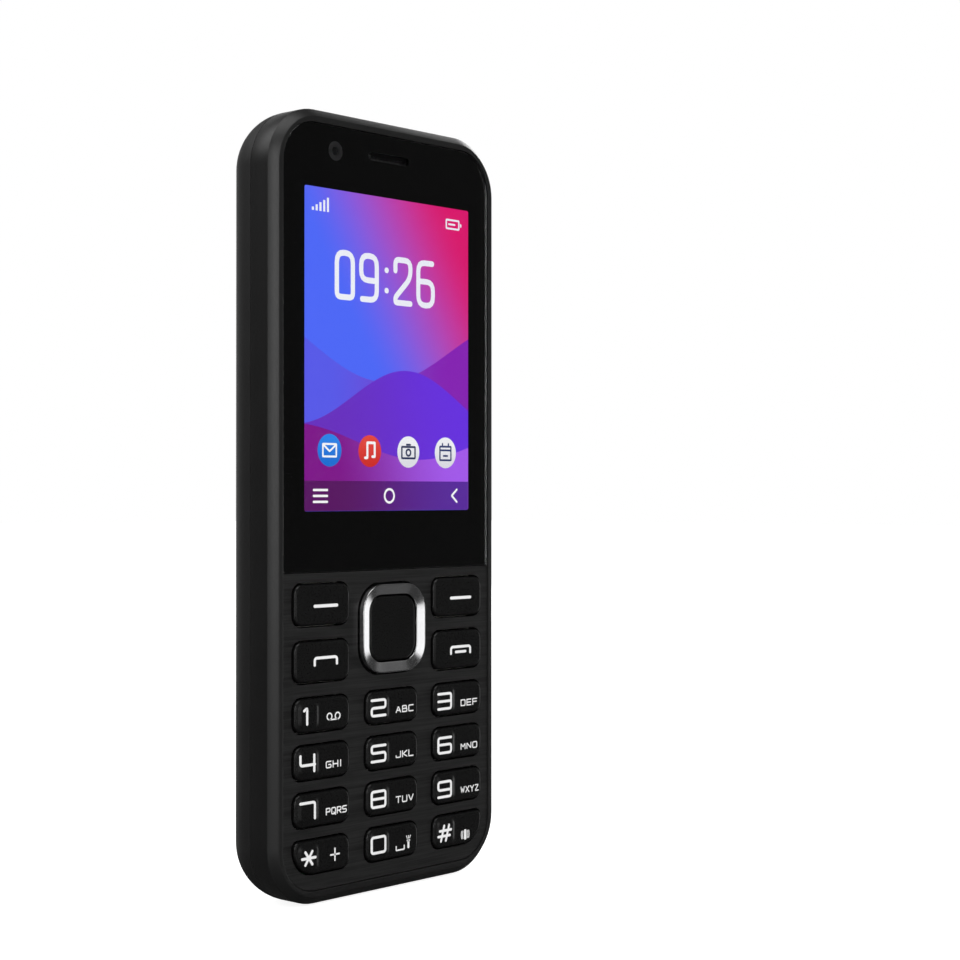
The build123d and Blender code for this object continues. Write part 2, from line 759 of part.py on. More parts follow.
weight_x = motor_x + motor_l / 2 + weight_gap
with BuildPart() as motor_weight:
    with BuildSketch(Plane.YZ.offset(motor_x + shaft_end)):
        with Locations((motor_d - depth_mid, motor_z)):
            Circle(shaft_r)
    extrude(amount=weight_x + weight_l - motor_x - shaft_end)
    with BuildSketch(Plane.YZ.offset(weight_x)):
        with Locations((motor_d - depth_mid, motor_z)):
            Circle(weight_r)
            Rectangle(2 * weight_r, 2 * weight_r, align=(Align.CENTER, Align.MIN), mode=Mode.SUBTRACT)
            Circle(hub_r)
    extrude(amount=weight_l)
keep(motor_weight, "motor_weight")

# Rear camera module, standing on the board up to the window.
barrel_top = window_d + panel_t / 2
with BuildPart() as rear_camera:
    with BuildSketch(at(board_back)):
        with Locations((rear_lens_x, optics_z)):
            Rectangle(rear_module_w, rear_module_w)
    extrude(amount=-rear_module_t)
    with BuildSketch(at(board_back + rear_module_t)):
        with Locations((rear_lens_x, optics_z)):
            Circle(rear_barrel_r)
    extrude(amount=board_back + rear_module_t - window_d + small_gap)
    with BuildSketch(at(window_d - small_gap)):
        with Locations((rear_lens_x, optics_z)):
            Circle(rear_lens_r - panel_gap)
    extrude(amount=window_d - small_gap - barrel_top)
    with BuildSketch(at(barrel_top)):
        with Locations((rear_lens_x, optics_z)):
            Circle(rear_lens_r * 0.75)
    extrude(amount=panel_t / 2, mode=Mode.SUBTRACT, taper=30)
keep(rear_camera, "rear_camera")

# Flash: a square emitter on a post with a domed clear lens that fills its hole in the window.
with BuildPart() as flash_led:
    with BuildSketch(at(board_back)):
        with Locations((flash_x, optics_z)):
            Rectangle(flash_w, flash_w)
    extrude(amount=board_back - window_d + small_gap)
    with BuildSketch(at(window_d - small_gap)):
        with Locations((flash_x, optics_z)):
            Circle(flash_r - panel_gap)
    extrude(amount=-panel_t)
    fillet(flash_led.faces().sort_by(Axis.Y)[-1].edges(), key_edge)
keep(flash_led, "flash_led")

# Camera bezel: a pill-shaped frame that stands a little proud of the cover, with the dark window in it.
with BuildPart() as camera_bezel:
    with BuildSketch(at(bezel_d)):
        with Locations((bezel_x, optics_z)):
            SlotOverall(bezel_w, bezel_h)
    extrude(amount=bezel_d - phone_t - bezel_proud)
    chamfer(camera_bezel.faces().sort_by(Axis.Y)[-1].edges(), bezel_bevel)
    with BuildSketch(at(bezel_d)):
        with Locations((bezel_x, optics_z)):
            SlotOverall(bezel_w - 2 * bezel_rim, bezel_h - 2 * bezel_rim)
    extrude(amount=bezel_d - phone_t - bezel_proud, mode=Mode.SUBTRACT)
keep(camera_bezel, "camera_bezel")

with BuildPart() as camera_window:
    with BuildSketch(at(window_d)):
        with Locations((bezel_x, optics_z)):
            SlotOverall(bezel_w - 2 * bezel_rim - 2 * panel_gap, bezel_h - 2 * bezel_rim - 2 * panel_gap)
        with Locations((rear_lens_x, optics_z)):
            Circle(rear_lens_r, mode=Mode.SUBTRACT)
        with Locations((flash_x, optics_z)):
            Circle(flash_r, mode=Mode.SUBTRACT)
    extrude(amount=-panel_t)
keep(camera_window, "camera_window")

# Loudspeaker and the glossy disc in front of it; sound leaves through the gap round the disc.
with BuildPart() as loudspeaker:
    with BuildSketch(at(speaker_d)):
        with Locations((disc_x, optics_z)):
            Circle(speaker_r)
    extrude(amount=-speaker_t)
    chamfer(loudspeaker.faces().sort_by(Axis.Y)[0].edges(), speaker_t / 5)
keep(loudspeaker, "loudspeaker")

with BuildPart() as speaker_disc:
    with BuildSketch(at(disc_top_d - disc_t)):
        with Locations((disc_x, optics_z)):
            Circle(disc_r)
    extrude(amount=-disc_t)
    fillet(speaker_disc.faces().sort_by(Axis.Y)[-1].edges(), disc_t / 2)
keep(speaker_disc, "speaker_disc")

# Rear chassis: the moulded inner back under the cover, a thin shell with the battery bay standing in
# it. It clamps the board and carries the camera bezel and the loudspeaker.
chassis_inset = cover_wall + chassis_gap
with BuildPart() as chassis_form:
    with BuildSketch(at(chassis_d)):
        with Locations((0, mid_z)):
            RectangleRounded(body_w - 2 * chassis_inset, body_h - 2 * chassis_inset, corner_r - chassis_inset)
    extrude(amount=chassis_d - chassis_back)
    fillet(chassis_form.faces().sort_by(Axis.Y)[-1].edges(), cover_round - chassis_inset)

with BuildPart() as rear_chassis:
    add(chassis_form.part)
    offset(amount=-chassis_wall, openings=rear_chassis.faces().sort_by(Axis.Y)[0])
    with BuildSketch(at(bay_floor_d - bay_floor_t)):
        with Locations((0, bay_z)):
            RectangleRounded(battery_w + 2 * (battery_gap + chassis_wall),
                             battery_h + 2 * (battery_gap + chassis_wall), battery_gap + 2 * chassis_wall)
    extrude(amount=bay_floor_d - bay_floor_t - chassis_back)
    with BuildSketch(at(chassis_d)):
        with Locations(*screw_spots):
            Circle(screw_head_r + chassis_wall)
    extrude(amount=chassis_d - chassis_back)
    with BuildSketch(at(speaker_d)):
        with Locations((disc_x, optics_z)):
            Circle(speaker_r + panel_gap + chassis_wall)
    extrude(amount=speaker_d - chassis_back)
    with BuildSketch(at(bezel_d - chassis_wall)):
        with Locations((bezel_x, optics_z)):
            SlotOverall(bezel_w + 2 * chassis_wall, bezel_h + 2 * chassis_wall)
    extrude(amount=bezel_d - chassis_wall - chassis_back)
    add(chassis_form.part, mode=Mode.INTERSECT)
    with BuildSketch(at(bay_floor_d)):
        with Locations((0, bay_z)):
            RectangleRounded(battery_w + 2 * battery_gap, battery_h + 2 * battery_gap, battery_gap + chassis_wall)
    extrude(amount=bay_floor_d - phone_t, mode=Mode.SUBTRACT)
    with BuildSketch(at(chassis_d)):
        with Locations((-sim_x, sim_z), (sim_x, sim_z)):
            Rectangle(sim_w + 2 * small_gap, sim_h + 2 * small_gap)
        with Locations((0, card_z)):
            Rectangle(card_w + 2 * small_gap, card_h + 2 * small_gap)
        with Locations((0, contact_z + contact_h / 2 + small_gap)):
            Rectangle(contact_w + 2 * small_gap, contact_h + 2 * (small_gap + contact_reach),
                      align=(Align.CENTER, Align.MAX))
        with Locations((rear_lens_x, optics_z)):
            Circle(rear_barrel_r + small_gap)
        with Locations((flash_x, optics_z)):
            Rectangle(flash_w + 2 * small_gap, flash_w + 2 * small_gap)
        with Locations((disc_x, optics_z)):
            Circle(speaker_r + panel_gap)
        with Locations((jack_x, body_h)):
            Rectangle(2 * (jack_r + small_gap), 2 * (jack_sink + jack_l + small_gap))
    extrude(amount=chassis_d - phone_t, mode=Mode.SUBTRACT)
    with BuildSketch(at(bezel_d)):
        with Locations((bezel_x, optics_z)):
            SlotOverall(bezel_w + 2 * panel_gap, bezel_h + 2 * panel_gap)
    extrude(amount=bezel_d - phone_t, mode=Mode.SUBTRACT)
    with BuildSketch(at(seat_d)):
        with Locations(*screw_spots):
            Circle(screw_head_r + screw_head_gap)
    extrude(amount=seat_d - phone_t, mode=Mode.SUBTRACT)
    with BuildSketch(at(chassis_d)):
        with Locations(*screw_spots):
            Circle(screw_r + small_gap)
    extrude(amount=chassis_d - seat_d, mode=Mode.SUBTRACT)
    with BuildSketch(at(chassis_d)):
        with Locations(*clip_spots):
            Rectangle(2 * (chassis_gap + clip_reach + small_gap), clip_l + 2 * small_gap)
    extrude(amount=chassis_d - phone_t, mode=Mode.SUBTRACT)
    with BuildSketch(at(chassis_back)):
        with Locations((0, antenna_z)):
            Rectangle(antenna_w + 2 * small_gap, antenna_h + 2 * small_gap)
    extrude(amount=antenna_t, mode=Mode.SUBTRACT)
keep(rear_chassis, "rear_chassis")

# Chassis screws: eight alike, driven through the chassis and the board into the housing's bosses.
with BuildPart() as chassis_screws:
    with BuildSketch(at(seat_d)):
        with Locations(*screw_spots):
            Circle(screw_head_r)
    extrude(amount=-screw_head_t)
    with BuildSketch(at(seat_d)):
        with Locations(*screw_spots):
            Circle(screw_r - panel_gap)
    extrude(amount=seat_d - plate_back - screw_r)
    with BuildSketch(at(seat_d + screw_head_t)):
        with Locations(*screw_spots):
            Rectangle(1.2 * screw_head_r, 0.3 * screw_head_r)
            Rectangle(0.3 * screw_head_r, 1.2 * screw_head_r)
    extrude(amount=screw_head_t / 2, mode=Mode.SUBTRACT)
keep(chassis_screws, "chassis_screws")

# Antenna: a thin stamped sheet let flush into the lower back of the chassis, with a tuning slit.
with BuildPart() as antenna:
    with BuildSketch(at(chassis_back)):
        with Locations((0, antenna_z)):
            Rectangle(antenna_w, antenna_h)
        with Locations((-antenna_w / 2, antenna_z)):
            Rectangle(antenna_slit, antenna_t, align=(Align.MIN, Align.CENTER), mode=Mode.SUBTRACT)
    extrude(amount=antenna_t)
keep(antenna, "antenna")

# Battery: a flat pack that lies on the floor of the bay and is pulled out when the cover is off.
with BuildPart() as battery:
    with BuildSketch(at(bay_floor_d)):
        with Locations((0, bay_z)):
            RectangleRounded(battery_w, battery_h, chassis_wall)
    extrude(amount=-battery_t)
    fillet(battery.faces().sort_by(Axis.Y)[-1].edges(), chassis_wall / 2)
keep(battery, "battery")

# Back cover: a deep drawn-looking moulded shell from the parting line to the back, with its cut-outs,
# the finger slot at the corner and the clips that snap beside the chassis.
slot_x = body_w / 2 - corner_r + corner_r * 0.7071
slot_z = corner_r - corner_r * 0.7071
with BuildPart() as back_cover:
    with BuildSketch(at(band_d + parting_gap)):
        with Locations((0, mid_z)):
            RectangleRounded(body_w, body_h, corner_r)
    extrude(amount=parting_gap - cover_d)
    fillet(back_cover.faces().sort_by(Axis.Y)[-1].edges(), cover_round)
    offset(amount=-cover_wall, openings=back_cover.faces().sort_by(Axis.Y)[0])
    with BuildSketch(at(band_d + 2 * small_gap)):
        with Locations(*clip_spots):
            Rectangle(2 * (chassis_gap + clip_reach), clip_l)
    extrude(amount=-clip_t)
    with BuildSketch(at(cover_inside - cover_wall)):
        with Locations((bezel_x, optics_z)):
            SlotOverall(bezel_w + 2 * bezel_gap, bezel_h + 2 * bezel_gap)
        with Locations((disc_x, optics_z)):
            Circle(disc_hole_r)
    extrude(amount=cover_inside - cover_wall - phone_t, mode=Mode.SUBTRACT)
    with BuildSketch(Plane.XY.offset(body_h)):
        with Locations((jack_x, jack_d - depth_mid)):
            Circle(jack_port_r)
    extrude(amount=-2 * cover_wall, mode=Mode.SUBTRACT)
    with BuildSketch(Plane.XY):
        with Locations((notch_x, band_d + notch_r / 2 - depth_mid)):
            Circle(notch_r)
    extrude(amount=2 * cover_wall, mode=Mode.SUBTRACT)
    with BuildSketch(at(band_d)):
        with Locations((slot_x, slot_z)):
            Rectangle(slot_l, slot_in, rotation=45)
    extrude(amount=-slot_h, mode=Mode.SUBTRACT)
keep(back_cover, "back_cover")
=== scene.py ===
import math

import bmesh
import bpy
from mathutils import Matrix, Vector
from mathutils.geometry import delaunay_2d_cdt


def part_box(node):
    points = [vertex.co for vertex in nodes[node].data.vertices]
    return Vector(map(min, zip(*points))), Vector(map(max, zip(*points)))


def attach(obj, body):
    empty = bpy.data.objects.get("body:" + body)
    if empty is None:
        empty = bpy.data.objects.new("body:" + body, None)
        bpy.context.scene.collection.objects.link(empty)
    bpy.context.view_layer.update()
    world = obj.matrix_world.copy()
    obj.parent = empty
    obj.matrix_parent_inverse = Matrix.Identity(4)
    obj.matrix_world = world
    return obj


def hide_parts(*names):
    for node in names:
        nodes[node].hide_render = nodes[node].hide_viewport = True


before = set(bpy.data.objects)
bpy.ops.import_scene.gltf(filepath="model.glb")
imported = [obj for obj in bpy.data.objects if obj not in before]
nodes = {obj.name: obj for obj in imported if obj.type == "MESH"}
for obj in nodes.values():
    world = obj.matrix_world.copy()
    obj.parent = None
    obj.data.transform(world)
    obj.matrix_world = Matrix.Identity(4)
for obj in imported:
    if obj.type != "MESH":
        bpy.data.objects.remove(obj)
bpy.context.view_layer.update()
scene = bpy.context.scene
scene.view_settings.view_transform = "Standard"


# Studio: a white sweep behind the phone and a white floor that keeps a faint shadow, with a dark room
# on the camera's side, so that the black gloss of the lens stays black and the edges catch the white.
def linear(hex_colour):
    """A colour written as sRGB hex, as the linear RGBA that the shaders take."""
    channels = [int(hex_colour[i:i + 2], 16) / 255 for i in (1, 3, 5)]
    return [c / 12.92 if c <= 0.04045 else ((c + 0.055) / 1.055) ** 2.4 for c in channels] + [1.0]


def feed(tree, node, inputs):
    """Sets a node's inputs: plain values, other nodes' outputs, or nodes, which give their first output."""
    for key, value in inputs.items():
        if isinstance(value, bpy.types.Node):
            value = value.outputs[0]
        if isinstance(value, bpy.types.NodeSocket):
            tree.links.new(value, node.inputs[key])
        else:
            node.inputs[key].default_value = value


def put(tree, kind, inputs=None, **settings):
    """Adds one node with its settings and its inputs."""
    made = tree.nodes.new(kind)
    for name, value in settings.items():
        setattr(made, name, value)
    feed(tree, made, inputs or {})
    return made


def worked(tree, operation, *values):
    """A Math node on numbers or on other nodes."""
    return put(tree, "ShaderNodeMath", dict(enumerate(values)), operation=operation)


def ranged(tree, value, start, end, low=0.0, high=1.0, kind="LINEAR"):
    """Maps what runs from start to end onto low to high."""
    ends = {"Value": value, "From Min": start, "From Max": end, "To Min": low, "To Max": high}
    return put(tree, "ShaderNodeMapRange", ends, interpolation_type=kind)


def dotted(tree, way, other):
    """The dot product of two vectors."""
    return put(tree, "ShaderNodeVectorMath", {0: way, 1: other}, operation="DOT_PRODUCT").outputs["Value"]


view_way = Vector((0.7425, 0.6700, 0.0068))
camera_data = bpy.data.cameras.new("studio_camera")
camera_data.lens = 71.07
camera_data.sensor_width = 36.0
camera = bpy.data.objects.new("studio_camera", camera_data)
camera.location = (-0.2119, -0.21645, 0.0621)
camera.rotation_euler = view_way.to_track_quat("-Z", "Y").to_euler()
scene.collection.objects.link(camera)
scene.camera = camera

sweep_side, fill_level, room_level = Vector((view_way.x, view_way.y, 0)), 1.0, 0.045
# Each card: degrees round from the phone's front, degrees up, half width, softness, brightness.
cards = [(76, -6, 9, 2, 1.5), (20, 0, 9, 2, 1.5), (53, -26, 10, 6, 0.1), (54, 22, 9, 5, 0.28),
         (-24, 0, 8, 2, 0.8), (0, 27, 9, 3, 0.5), (0, -27, 9, 3, 0.5), (-17, -25, 8, 2, 1.0),
         (-73, -25, 8, 2, 1.0), (-48, -6, 6, 2, 1.3), (-140, 46, 18, 12, 1.9)]


def aimed(turn, height):
    """A direction from the phone: degrees round from its front towards its right, and degrees up."""
    turn, height = math.radians(turn), math.radians(height)
    return Vector((math.sin(turn) * math.cos(height), -math.cos(turn) * math.cos(height), math.sin(height)))


studio = bpy.data.worlds.new("white_sweep_studio")
studio.use_nodes = True
scene.world = studio
tree = studio.node_tree
tree.nodes.clear()
way = put(tree, "ShaderNodeTexCoord").outputs["Generated"]
up = put(tree, "ShaderNodeSeparateXYZ", {0: way}).outputs["Z"]
white = ranged(tree, dotted(tree, way, sweep_side), 0.45, 0.95, kind="SMOOTHSTEP")
dimmed = ranged(tree, up, 0.05, 0.4, 1.0, 0.5, kind="SMOOTHSTEP")
low_edge = ranged(tree, up, -0.3, -0.12, kind="SMOOTHSTEP")
level = worked(tree, "MULTIPLY", worked(tree, "MULTIPLY", white, dimmed), low_edge)
level = worked(tree, "MAXIMUM", level, room_level)
for turn, height, half, soft, strength in cards:
    rim, core = [math.cos(math.radians(half + side * soft)) for side in (1, -1)]
    card = ranged(tree, dotted(tree, way, aimed(turn, height)), rim, core, 0.0, strength, kind="SMOOTHSTEP")
    level = worked(tree, "MAXIMUM", level, card)
ray = put(tree, "ShaderNodeLightPath").outputs
bounced = worked(tree, "MAXIMUM", ray["Is Glossy Ray"], ray["Is Transmission Ray"])
shown = worked(tree, "MAXIMUM", ray["Is Camera Ray"], worked(tree, "MULTIPLY", bounced, level))
lit_level = worked(tree, "MULTIPLY_ADD", ray["Is Diffuse Ray"], fill_level, shown)
light = put(tree, "ShaderNodeBackground", {"Color": linear("#ffffff"), "Strength": lit_level})
put(tree, "ShaderNodeOutputWorld", {"Surface": light})

floor_half, floor_drop, floor_glow = 3.0, 0.0003, 0.86
corners = [(-1, -1), (1, -1), (1, 1), (-1, 1)]
floor_mesh = bpy.data.meshes.new("studio_floor")
corners = [(x * floor_half, y * floor_half, -floor_drop) for x, y in corners]
floor_mesh.from_pydata(corners, [], [(0, 1, 2, 3)])
floor = bpy.data.objects.new("studio_floor", floor_mesh)
scene.collection.objects.link(floor)
# White paper: white to the camera, with the phone's shadow; mirrored rays pass on to the studio.
paper = bpy.data.materials.new("white_paper_floor")
paper.use_nodes = True
tree = paper.node_tree
tree.nodes.clear()
ray = put(tree, "ShaderNodeLightPath").outputs
bounced = worked(tree, "MAXIMUM", ray["Is Glossy Ray"], ray["Is Transmission Ray"])
glow = worked(tree, "MULTIPLY", ray["Is Camera Ray"], floor_glow)
white = put(tree, "ShaderNodeEmission", {"Color": linear("#ffffff"), "Strength": glow})
matt = put(tree, "ShaderNodeBsdfDiffuse", {"Color": linear("#bcbcbc")})
lit_paper = put(tree, "ShaderNodeAddShader", {0: white, 1: matt})
clear = put(tree, "ShaderNodeBsdfTransparent")
paper_mix = put(tree, "ShaderNodeMixShader", {0: bounced, 1: lit_paper, 2: clear})
put(tree, "ShaderNodeOutputMaterial", {"Surface": paper_mix})
floor_mesh.materials.append(paper)

phone_middle = Vector((0, 0, 0.06))
# Each softbox: name, degrees round, degrees up, metres away, width, height, watts.
softboxes = [("camera_softbox", -45, 16, 1.0, 0.30, 0.72, 2.35),
             ("top_softbox", -30, 72, 0.9, 0.70, 0.50, 2.2),
             ("rear_softbox", 118, 20, 0.9, 0.60, 0.60, 3.4)]
for name, turn, height, distance, width, tall, watts in softboxes:
    towards = aimed(turn, height)
    lamp = bpy.data.lights.new(name, "AREA")
    lamp.shape = "RECTANGLE"
    lamp.size, lamp.size_y = width, tall
    lamp.energy = watts
    lamp_object = bpy.data.objects.new(name, lamp)
    lamp_object.location = phone_middle + towards * distance
    lamp_object.rotation_euler = towards.to_track_quat("Z", "Y").to_euler()
    scene.collection.objects.link(lamp_object)


# Front housing: the moulded frame that everything is screwed into, with a chamfered front edge and a
# narrow lip round the panels. Black ABS, spark-eroded to a satin face, with its moulded edges eased.
lip_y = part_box("front_housing")[0].y
drawing = Matrix.Translation((0, lip_y, 0)) @ Matrix.Scale(0.001, 4)
crease, moulded_ease, mottle_mm, gloss_swing = math.radians(32), 0.12, 7.0, 0.05
join_gap, flat_angle, edge_angle = 0.0005, math.radians(0.4), math.radians(30)


def piece(name, form, body, finish, slot, *stands_for):
    """Turns a form drawn in mm (x, depth behind the lip, z) into a piece that rides on its body."""
    form.transform(drawing)
    bmesh.ops.recalc_face_normals(form, faces=form.faces)
    mesh = bpy.data.meshes.new(name)
    form.to_mesh(mesh)
    form.free()
    mesh.polygons.foreach_set("use_smooth", [True] * len(mesh.polygons))
    mesh.set_sharp_from_angle(angle=crease)
    mesh.materials.append(finish)
    made = bpy.data.objects.new(name, mesh)
    scene.collection.objects.link(made)
    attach(made, body)
    if stands_for:
        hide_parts(*stands_for)


def merged(node):
    """A CAD piece's mesh in mm with its loose triangles joined up."""
    form = bmesh.new()
    form.from_mesh(nodes[node].data)
    form.transform(drawing.inverted())
    bmesh.ops.remove_doubles(form, verts=form.verts, dist=join_gap)
    return form


def bevelled(form, edges, width):
    """Rounds these edges by a width in mm."""
    bmesh.ops.bevel(form, geom=edges, offset=width, segments=2, profile=0.5, affect="EDGES",
                    clamp_overlap=True)
    return form


def eased(form, width):
    """Joins the flat faces of a merged CAD mesh and rounds its edges by a width in mm."""
    bmesh.ops.dissolve_limit(form, angle_limit=flat_angle, verts=form.verts, edges=form.edges)
    edges = [e for e in form.edges if len(e.link_faces) == 2 and e.calc_face_angle() > edge_angle]
    return bevelled(form, edges, width)


def started(name):
    """A new material: itself, its nodes, its shader, and the place on the piece for its patterns."""
    finish = bpy.data.materials.new(name)
    finish.use_nodes = True
    tree = finish.node_tree
    return finish, tree, tree.nodes["Principled BSDF"], put(tree, "ShaderNodeTexCoord").outputs["Object"]


def noise(tree, where, size_mm, detail):
    """Noise with features of about this size."""
    return put(tree, "ShaderNodeTexNoise", {"Vector": where, "Scale": 1000 / size_mm, "Detail": detail})


def ramp(tree, share, *stops):
    """A colour ramp through its stops, each a place and an sRGB hex colour."""
    made = put(tree, "ShaderNodeValToRGB", {"Fac": share})
    row = made.color_ramp.elements
    for index, (place, colour) in enumerate(stops):
        stop = row[index] if index < 2 else row.new(place)
        stop.position, stop.color = place, linear(colour)
    return made


def moulded(name, colour, light_colour, roughness, grain_mm, relief_mm, ior=1.5):
    """A moulded plastic or rubber: fine grain breaks up its gloss, with a faint mottle in its colour."""
    finish, tree, shader, where = started(name)
    grain = noise(tree, where, grain_mm, 3.0)
    tint = ramp(tree, noise(tree, where, mottle_mm, 2.0), (0.3, colour), (0.7, light_colour))
    gloss = ranged(tree, grain, 0.3, 0.7, roughness - gloss_swing, roughness + gloss_swing)
    relief = put(tree, "ShaderNodeBump", {"Height": grain, "Distance": relief_mm / 1000})
    feed(tree, shader, {"Base Color": tint, "Roughness": gloss, "Normal": relief, "IOR": ior})
    return finish


# Satin ABS: a soft dark grey sheen that runs wide along the chamfer and the rounded sides.
satin_abs = moulded("satin_black_abs", "#131313", "#161616", 0.39, 0.22, 0.004, 1.54)
piece("housing_frame", eased(merged("front_housing"), moulded_ease), "phone", satin_abs, "housing_black",
      "front_housing")


# Screen lens: a clear cast acrylic sheet with a hard coat, let into the upper recess, its front edge
# eased. The black border is printed on its back and leaves a window for the picture.
corner_steps, edge_support, hole_share = 8, 0.06, 0.4


def grown(shape, by):
    """A rounded rectangle (x, z, width, height, radii) moved outwards by so many mm."""
    x, z, width, height, radii = shape
    return (x, z, width + 2 * by, height + 2 * by, [max(r + by, 0.02) for r in radii])


def circle(x, z, r):
    """A circle, written as a rounded rectangle."""
    return (x, z, 2 * r, 2 * r, [r] * 4)


def outline(shape, per_side=1):
    """Points round a rounded rectangle; its radii go top right, top left, low left, low right."""
    x, z, width, height, radii = shape
    points = []
    for turn, (right, up) in enumerate(((1, 1), (-1, 1), (-1, -1), (1, -1))):
        r = radii[turn]
        for step in range(corner_steps + 1):
            angle = math.radians(90 * turn + 90 * step / corner_steps)
            points.append((x + right * (width / 2 - r) + r * math.cos(angle),
                           z + up * (height / 2 - r) + r * math.sin(angle)))
    fuller = []
    for i, (px, pz) in enumerate(points):
        nx, nz = points[(i + 1) % len(points)]
        if math.hypot(nx - px, nz - pz) < 1e-5:
            continue
        fuller.append((px, pz))
        if i % (corner_steps + 1) == corner_steps:
            shares = [k / per_side for k in range(1, per_side)]
            fuller += [(px + (nx - px) * t, pz + (nz - pz) * t) for t in shares]
    return fuller


def reach(shape, px, pz):
    """How far a point lies outside a rounded rectangle, in mm; less than nothing inside."""
    x, z, width, height, radii = shape
    r = radii[(0 if px > x else 1) if pz > z else (3 if px > x else 2)]
    qx, qz = abs(px - x) - width / 2 + r, abs(pz - z) - height / 2 + r
    return math.hypot(max(qx, 0), max(qz, 0)) + min(max(qx, qz), 0) - r


def skinned(form, shape, steps, per_side=1, closed=False):
    """Skins a row of outlines, each moved inwards by so much at such a depth; gives back the rings."""
    rings = [[form.verts.new((px, depth, pz)) for px, pz in outline(grown(shape, -inset), per_side)]
             for inset, depth in steps]
    for low, high in list(zip(rings, rings[1:])) + ([(rings[-1], rings[0])] if closed else []):
        for i in range(len(low)):
            j = (i + 1) % len(low)
            form.faces.new((low[i], low[j], high[j], high[i]))
    return rings


def net(form, borders, points=(), ties=()):
    """Fills between closed borders with a Delaunay net through points (x, depth, z) and tied edges."""
    owners = [v for loop in borders for v in loop]
    edges, first = [(len(owners) + a, len(owners) + b) for a, b in ties], 0
    for loop in borders:
        edges += [(first + i, first + (i + 1) % len(loop)) for i in range(len(loop))]
        first += len(loop)
    rims = [(a.co.x, a.co.z, b.co.x, b.co.z) for loop in borders for a, b in zip(loop, loop[1:] + loop[:1])]
    owners += [form.verts.new(p) for p in points]
    flat = [Vector((v.co.x, v.co.z)) for v in owners]
    flat_out, _, faces, sources, _, _ = delaunay_2d_cdt(flat, edges, [], 0, 1e-6)
    for face in faces:
        x, z = (flat_out[face[0]] + flat_out[face[1]] + flat_out[face[2]]) / 3
        crossed = [1 for ax, az, bx, bz in rims
                   if (az > z) != (bz > z) and x < ax + (z - az) / (bz - az) * (bx - ax)]
        if len(crossed) % 2:
            form.faces.new([owners[sources[i][0]] for i in face])


def quarter_round(front, radius, steps=4):
    """Insets and depths of an edge that rounds over from a side wall to the front face."""
    turns = [math.pi / 2 * k / steps for k in range(steps + 1)]
    return [(radius * (1 - math.cos(t)), front + radius * (1 - math.sin(t))) for t in turns]


def plate(outer, holes, front, back, ease):
    """A flat sheet with holes, its front edges rounded over, less so at the holes."""
    form = bmesh.new()
    fronts, backs = [], []
    for shape, way, share in [(outer, 1, 1.0)] + [(hole, -1, hole_share) for hole in holes]:
        rims = quarter_round(front, ease * share) + [(ease + edge_support, front)] if ease else [(0, front)]
        rings = skinned(form, shape, [(0, back)] + [(way * inset, depth) for inset, depth in rims])
        backs.append(rings[0])
        fronts.append(rings[-1])
    net(form, fronts)
    net(form, backs)
    return form


panel_w, panel_r, square_r, split_z, lens_top_z = 45.38, 6.44, 0.05, 50.1, 118.14
lens_front, lens_back, lens_ease, print_t = 0.15, 0.70, 0.12, 0.02
lens_shape = (0, (split_z + lens_top_z) / 2, panel_w, lens_top_z - split_z,
              [panel_r, panel_r, square_r, square_r])
slot_shape = (-0.2, 114.65, 8.6, 1.15, [0.57] * 4)
# Hard-coated acrylic: clear and glossy, with a trace of haze from handling.
acrylic, tree, shader, where = started("hard_coated_acrylic")
haze = ranged(tree, noise(tree, where, 12.0, 4.0), 0.45, 0.75, 0.0, 0.03)
feed(tree, shader, {"Roughness": haze, "Base Color": linear("#f4f5f6"), "Transmission Weight": 1.0,
                    "IOR": 1.49})
piece("lens_sheet", plate(lens_shape, [slot_shape], lens_front, lens_back, lens_ease), "phone", acrylic,
      "lens_clear", "screen_lens")

active = (0.12, 83.91, 36.45, 49.14, [0.3] * 4)
eye_x, eye_z, eye_r = -11.7, 114.4, 1.5
eye_shape = circle(eye_x, eye_z, eye_r)
border_d, wall_front, wall_in, wall_out = lens_back + 0.01, lens_front + 0.14, -0.01, -0.03
# Screen print in contact with the lens: it gives the eye a deep black with no shine of its own.
border_ink = moulded("black_screen_print", "#030303", "#050505", 0.5, 0.1, 0.001, 1.05)
slot_clear, window_clear = 0.1, 0.02
windows = [grown(slot_shape, slot_clear), grown(active, window_clear), eye_shape]
border = plate(lens_shape, windows, border_d, border_d + print_t, 0)
wall_steps = [(wall_in, wall_front), (wall_in, border_d), (wall_out, border_d), (wall_out, wall_front)]
skinned(border, lens_shape, wall_steps, closed=True)
piece("lens_border", border, "phone", border_ink, "mesh_black")


# Earpiece mesh: fine black wire gauze in two directions, cut to a strip and bonded behind the slot.
# The wires are drawn thicker and wider apart than real gauze, so that they show in the render.
def node_tree(name, **inputs):
    """A Geometry Nodes tree with named inputs of these kinds and one output; gives it and its inputs."""
    tree = bpy.data.node_groups.new(name, "GeometryNodeTree")
    tree.is_modifier = True
    for label, kind in inputs.items():
        tree.interface.new_socket(label, in_out="INPUT", socket_type="NodeSocket" + kind)
    tree.interface.new_socket("Geometry", in_out="OUTPUT", socket_type="NodeSocketGeometry")
    return tree, put(tree, "NodeGroupInput").outputs


